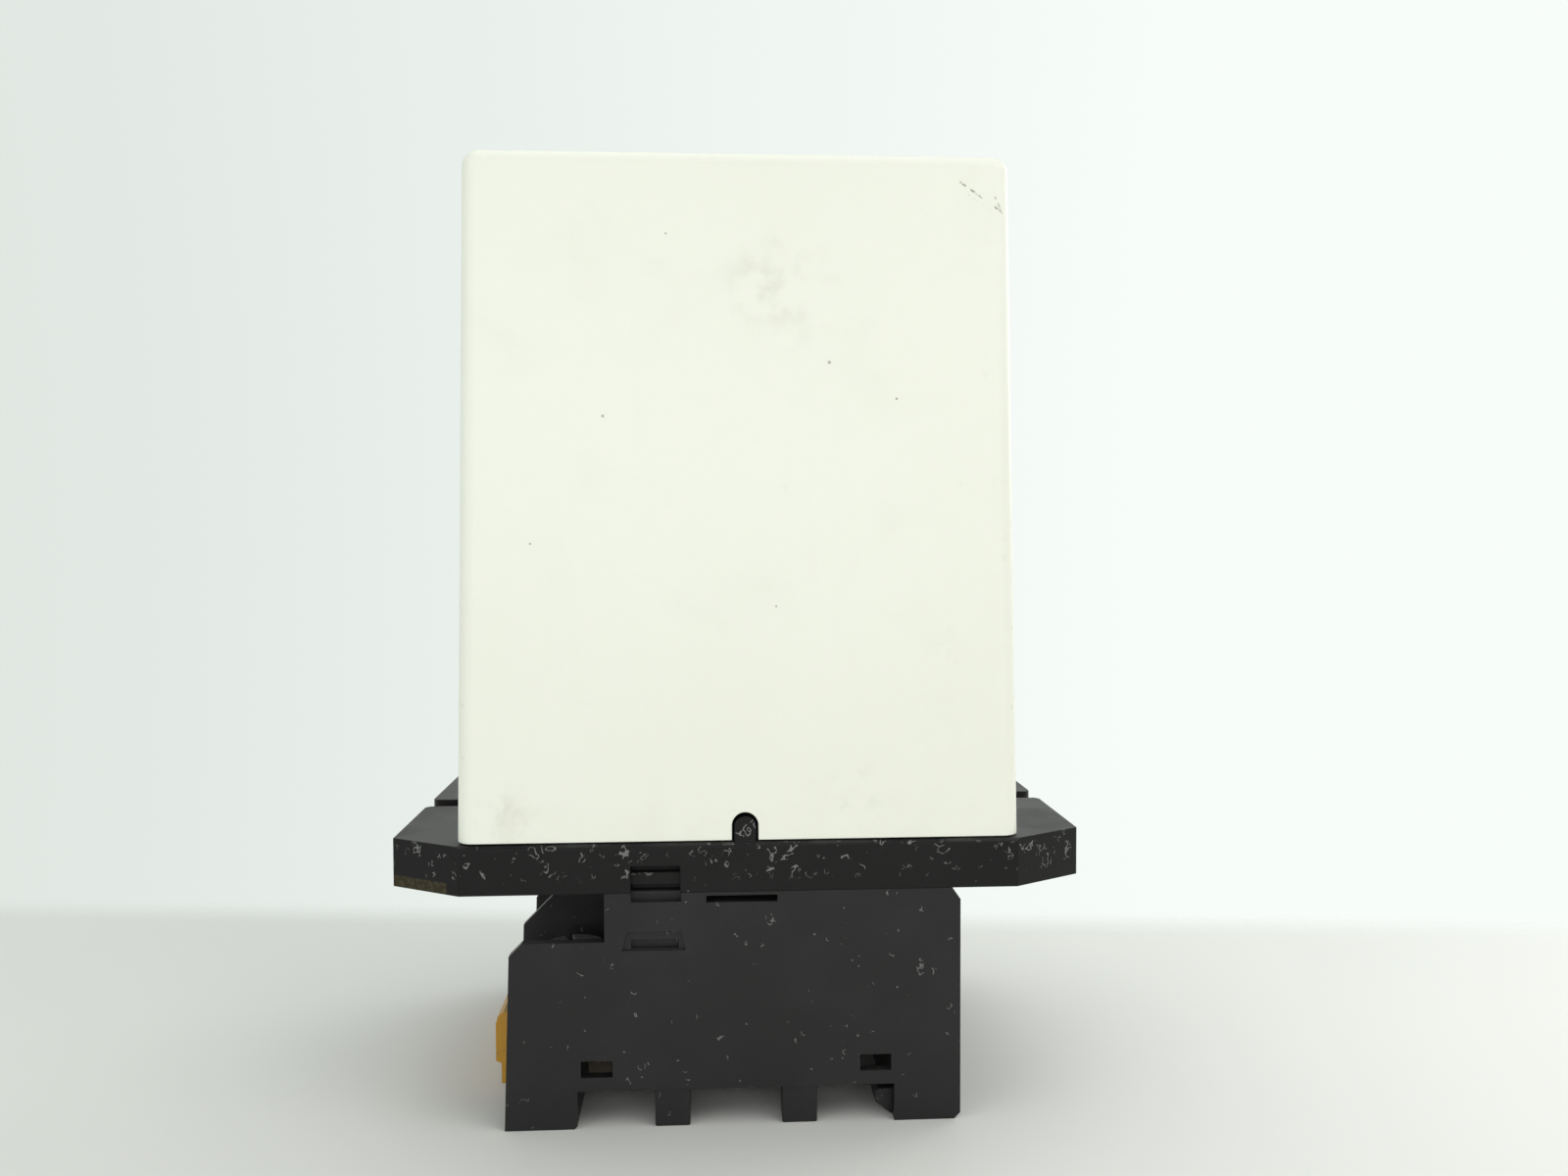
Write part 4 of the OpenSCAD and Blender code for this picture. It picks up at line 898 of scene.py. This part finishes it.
def lamp(name, place, target, size, watts, colour):
    """A soft square light at a place in millimetres, facing a target."""
    light = bpy.data.lights.new(name, "AREA")
    light.shape = "RECTANGLE"
    light.size, light.size_y = size[0] * MM, size[1] * MM
    light.energy = watts
    light.color = colour
    holder = bpy.data.objects.new(name, light)
    holder.location = Vector(place) * MM
    holder.rotation_euler = (Vector(target) - Vector(place)).to_track_quat("-Z", "Y").to_euler()
    holder.visible_camera = False
    bpy.context.scene.collection.objects.link(holder)


def surroundings():
    """A pale studio: brightest to the right and behind, dimmer on the side of the camera."""
    world = bpy.data.worlds.new("studio")
    bpy.context.scene.world = world
    world.use_nodes = True
    tree = world.node_tree
    where = tree.nodes.new("ShaderNodeTexCoord")
    split = tree.nodes.new("ShaderNodeSeparateXYZ")
    tree.links.new(where.outputs["Generated"], split.inputs[0])

    def ramp(axis, low, high):
        made = tree.nodes.new("ShaderNodeMapRange")
        made.inputs["From Min"].default_value = low
        made.inputs["From Max"].default_value = high
        tree.links.new(split.outputs[axis], made.inputs["Value"])
        return made.outputs[0]

    def blend(factor, first, second):
        made = tree.nodes.new("ShaderNodeMix")
        made.data_type = "RGBA"
        tree.links.new(factor, made.inputs[0])
        made.inputs[6].default_value = (*first, 1)
        if isinstance(second, tuple):
            made.inputs[7].default_value = (*second, 1)
        else:
            tree.links.new(second, made.inputs[7])
        return made.outputs[2]

    backdrop = blend(ramp(0, -0.45, 0.35), BACKDROP_LEFT, BACKDROP_RIGHT)
    tone = blend(ramp(1, -0.5, 0.5), ROOM_TONE, backdrop)
    tree.links.new(tone, tree.nodes["Background"].inputs["Color"])
    tree.nodes["Background"].inputs["Strength"].default_value = 1.0


def studio_lamps():
    """A key from the right, fills from the left and front, and weak lamps above and behind."""
    warm, cool, neutral = (1.0, 0.985, 0.95), (0.95, 1.0, 0.98), (1.0, 1.0, 0.97)
    lamp("key_light", (420, -330, 520), (0, 0, 60), (420, 420), 1.15, warm)
    lamp("top_light", (40, 60, 620), (0, 0, 40), (520, 420), 0.5, (0.97, 1.0, 0.98))
    lamp("fill_light", (-420, -380, 260), (0, 0, 50), (380, 380), 0.6, cool)
    lamp("front_light", (30, -420, 130), (0, 0, 20), (420, 160), 0.38, neutral)
    lamp("right_light", (380, 240, 210), (35, 0, 25), (260, 260), 0.35, neutral)


def camera():
    """The view from the front, a little to the left and above, with the verticals nearly upright."""
    yaw, pitch, roll = (math.radians(angle) for angle in (3.44, 2.049, -0.165))
    level = Vector((math.sin(yaw), math.cos(yaw), 0))
    right = Vector((math.cos(yaw), -math.sin(yaw), 0))
    ahead = math.cos(pitch) * level - math.sin(pitch) * Vector((0, 0, 1))
    up = math.sin(pitch) * level + math.cos(pitch) * Vector((0, 0, 1))
    side = math.cos(roll) * right + math.sin(roll) * up
    top = math.cos(roll) * up - math.sin(roll) * right
    lens = bpy.data.cameras.new("front_camera")
    lens.lens = 30.2
    lens.sensor_width = 36
    lens.clip_start = 0.005
    holder = bpy.data.objects.new("front_camera", lens)
    turn = Matrix((side, top, -ahead)).transposed().to_4x4()
    holder.matrix_world = Matrix.Translation(Vector((-3.882, -169.919, 65.242)) * MM) @ turn
    bpy.context.scene.collection.objects.link(holder)
    bpy.context.scene.camera = holder


# Table colours: painted shade on the left, painted light on the right
TABLE_SHADED_LEFT = (0.735, 0.735, 0.71)
TABLE_LIT_RIGHT = (0.80, 0.80, 0.775)
BACKDROP_LEFT = (0.75, 0.80, 0.76)
BACKDROP_RIGHT = (0.94, 0.985, 0.96)
ROOM_TONE = (0.40, 0.41, 0.41)

camera()
soften_nodes()
socket_springs()
upright_spring("test_button_spring", 2, 0.4, 3, "relay")
upright_spring("reset_button_spring", 2, 0.4, 3, "relay")
upright_spring("output_relay_return_spring", 0.75, 0.3, 9, "relay")
windings()
board_details()
face_markings()
dial_pointers()
table()
studio_lamps()
surroundings()
bpy.context.scene.view_settings.view_transform = "Standard"
bpy.context.scene.view_settings.look = "None"
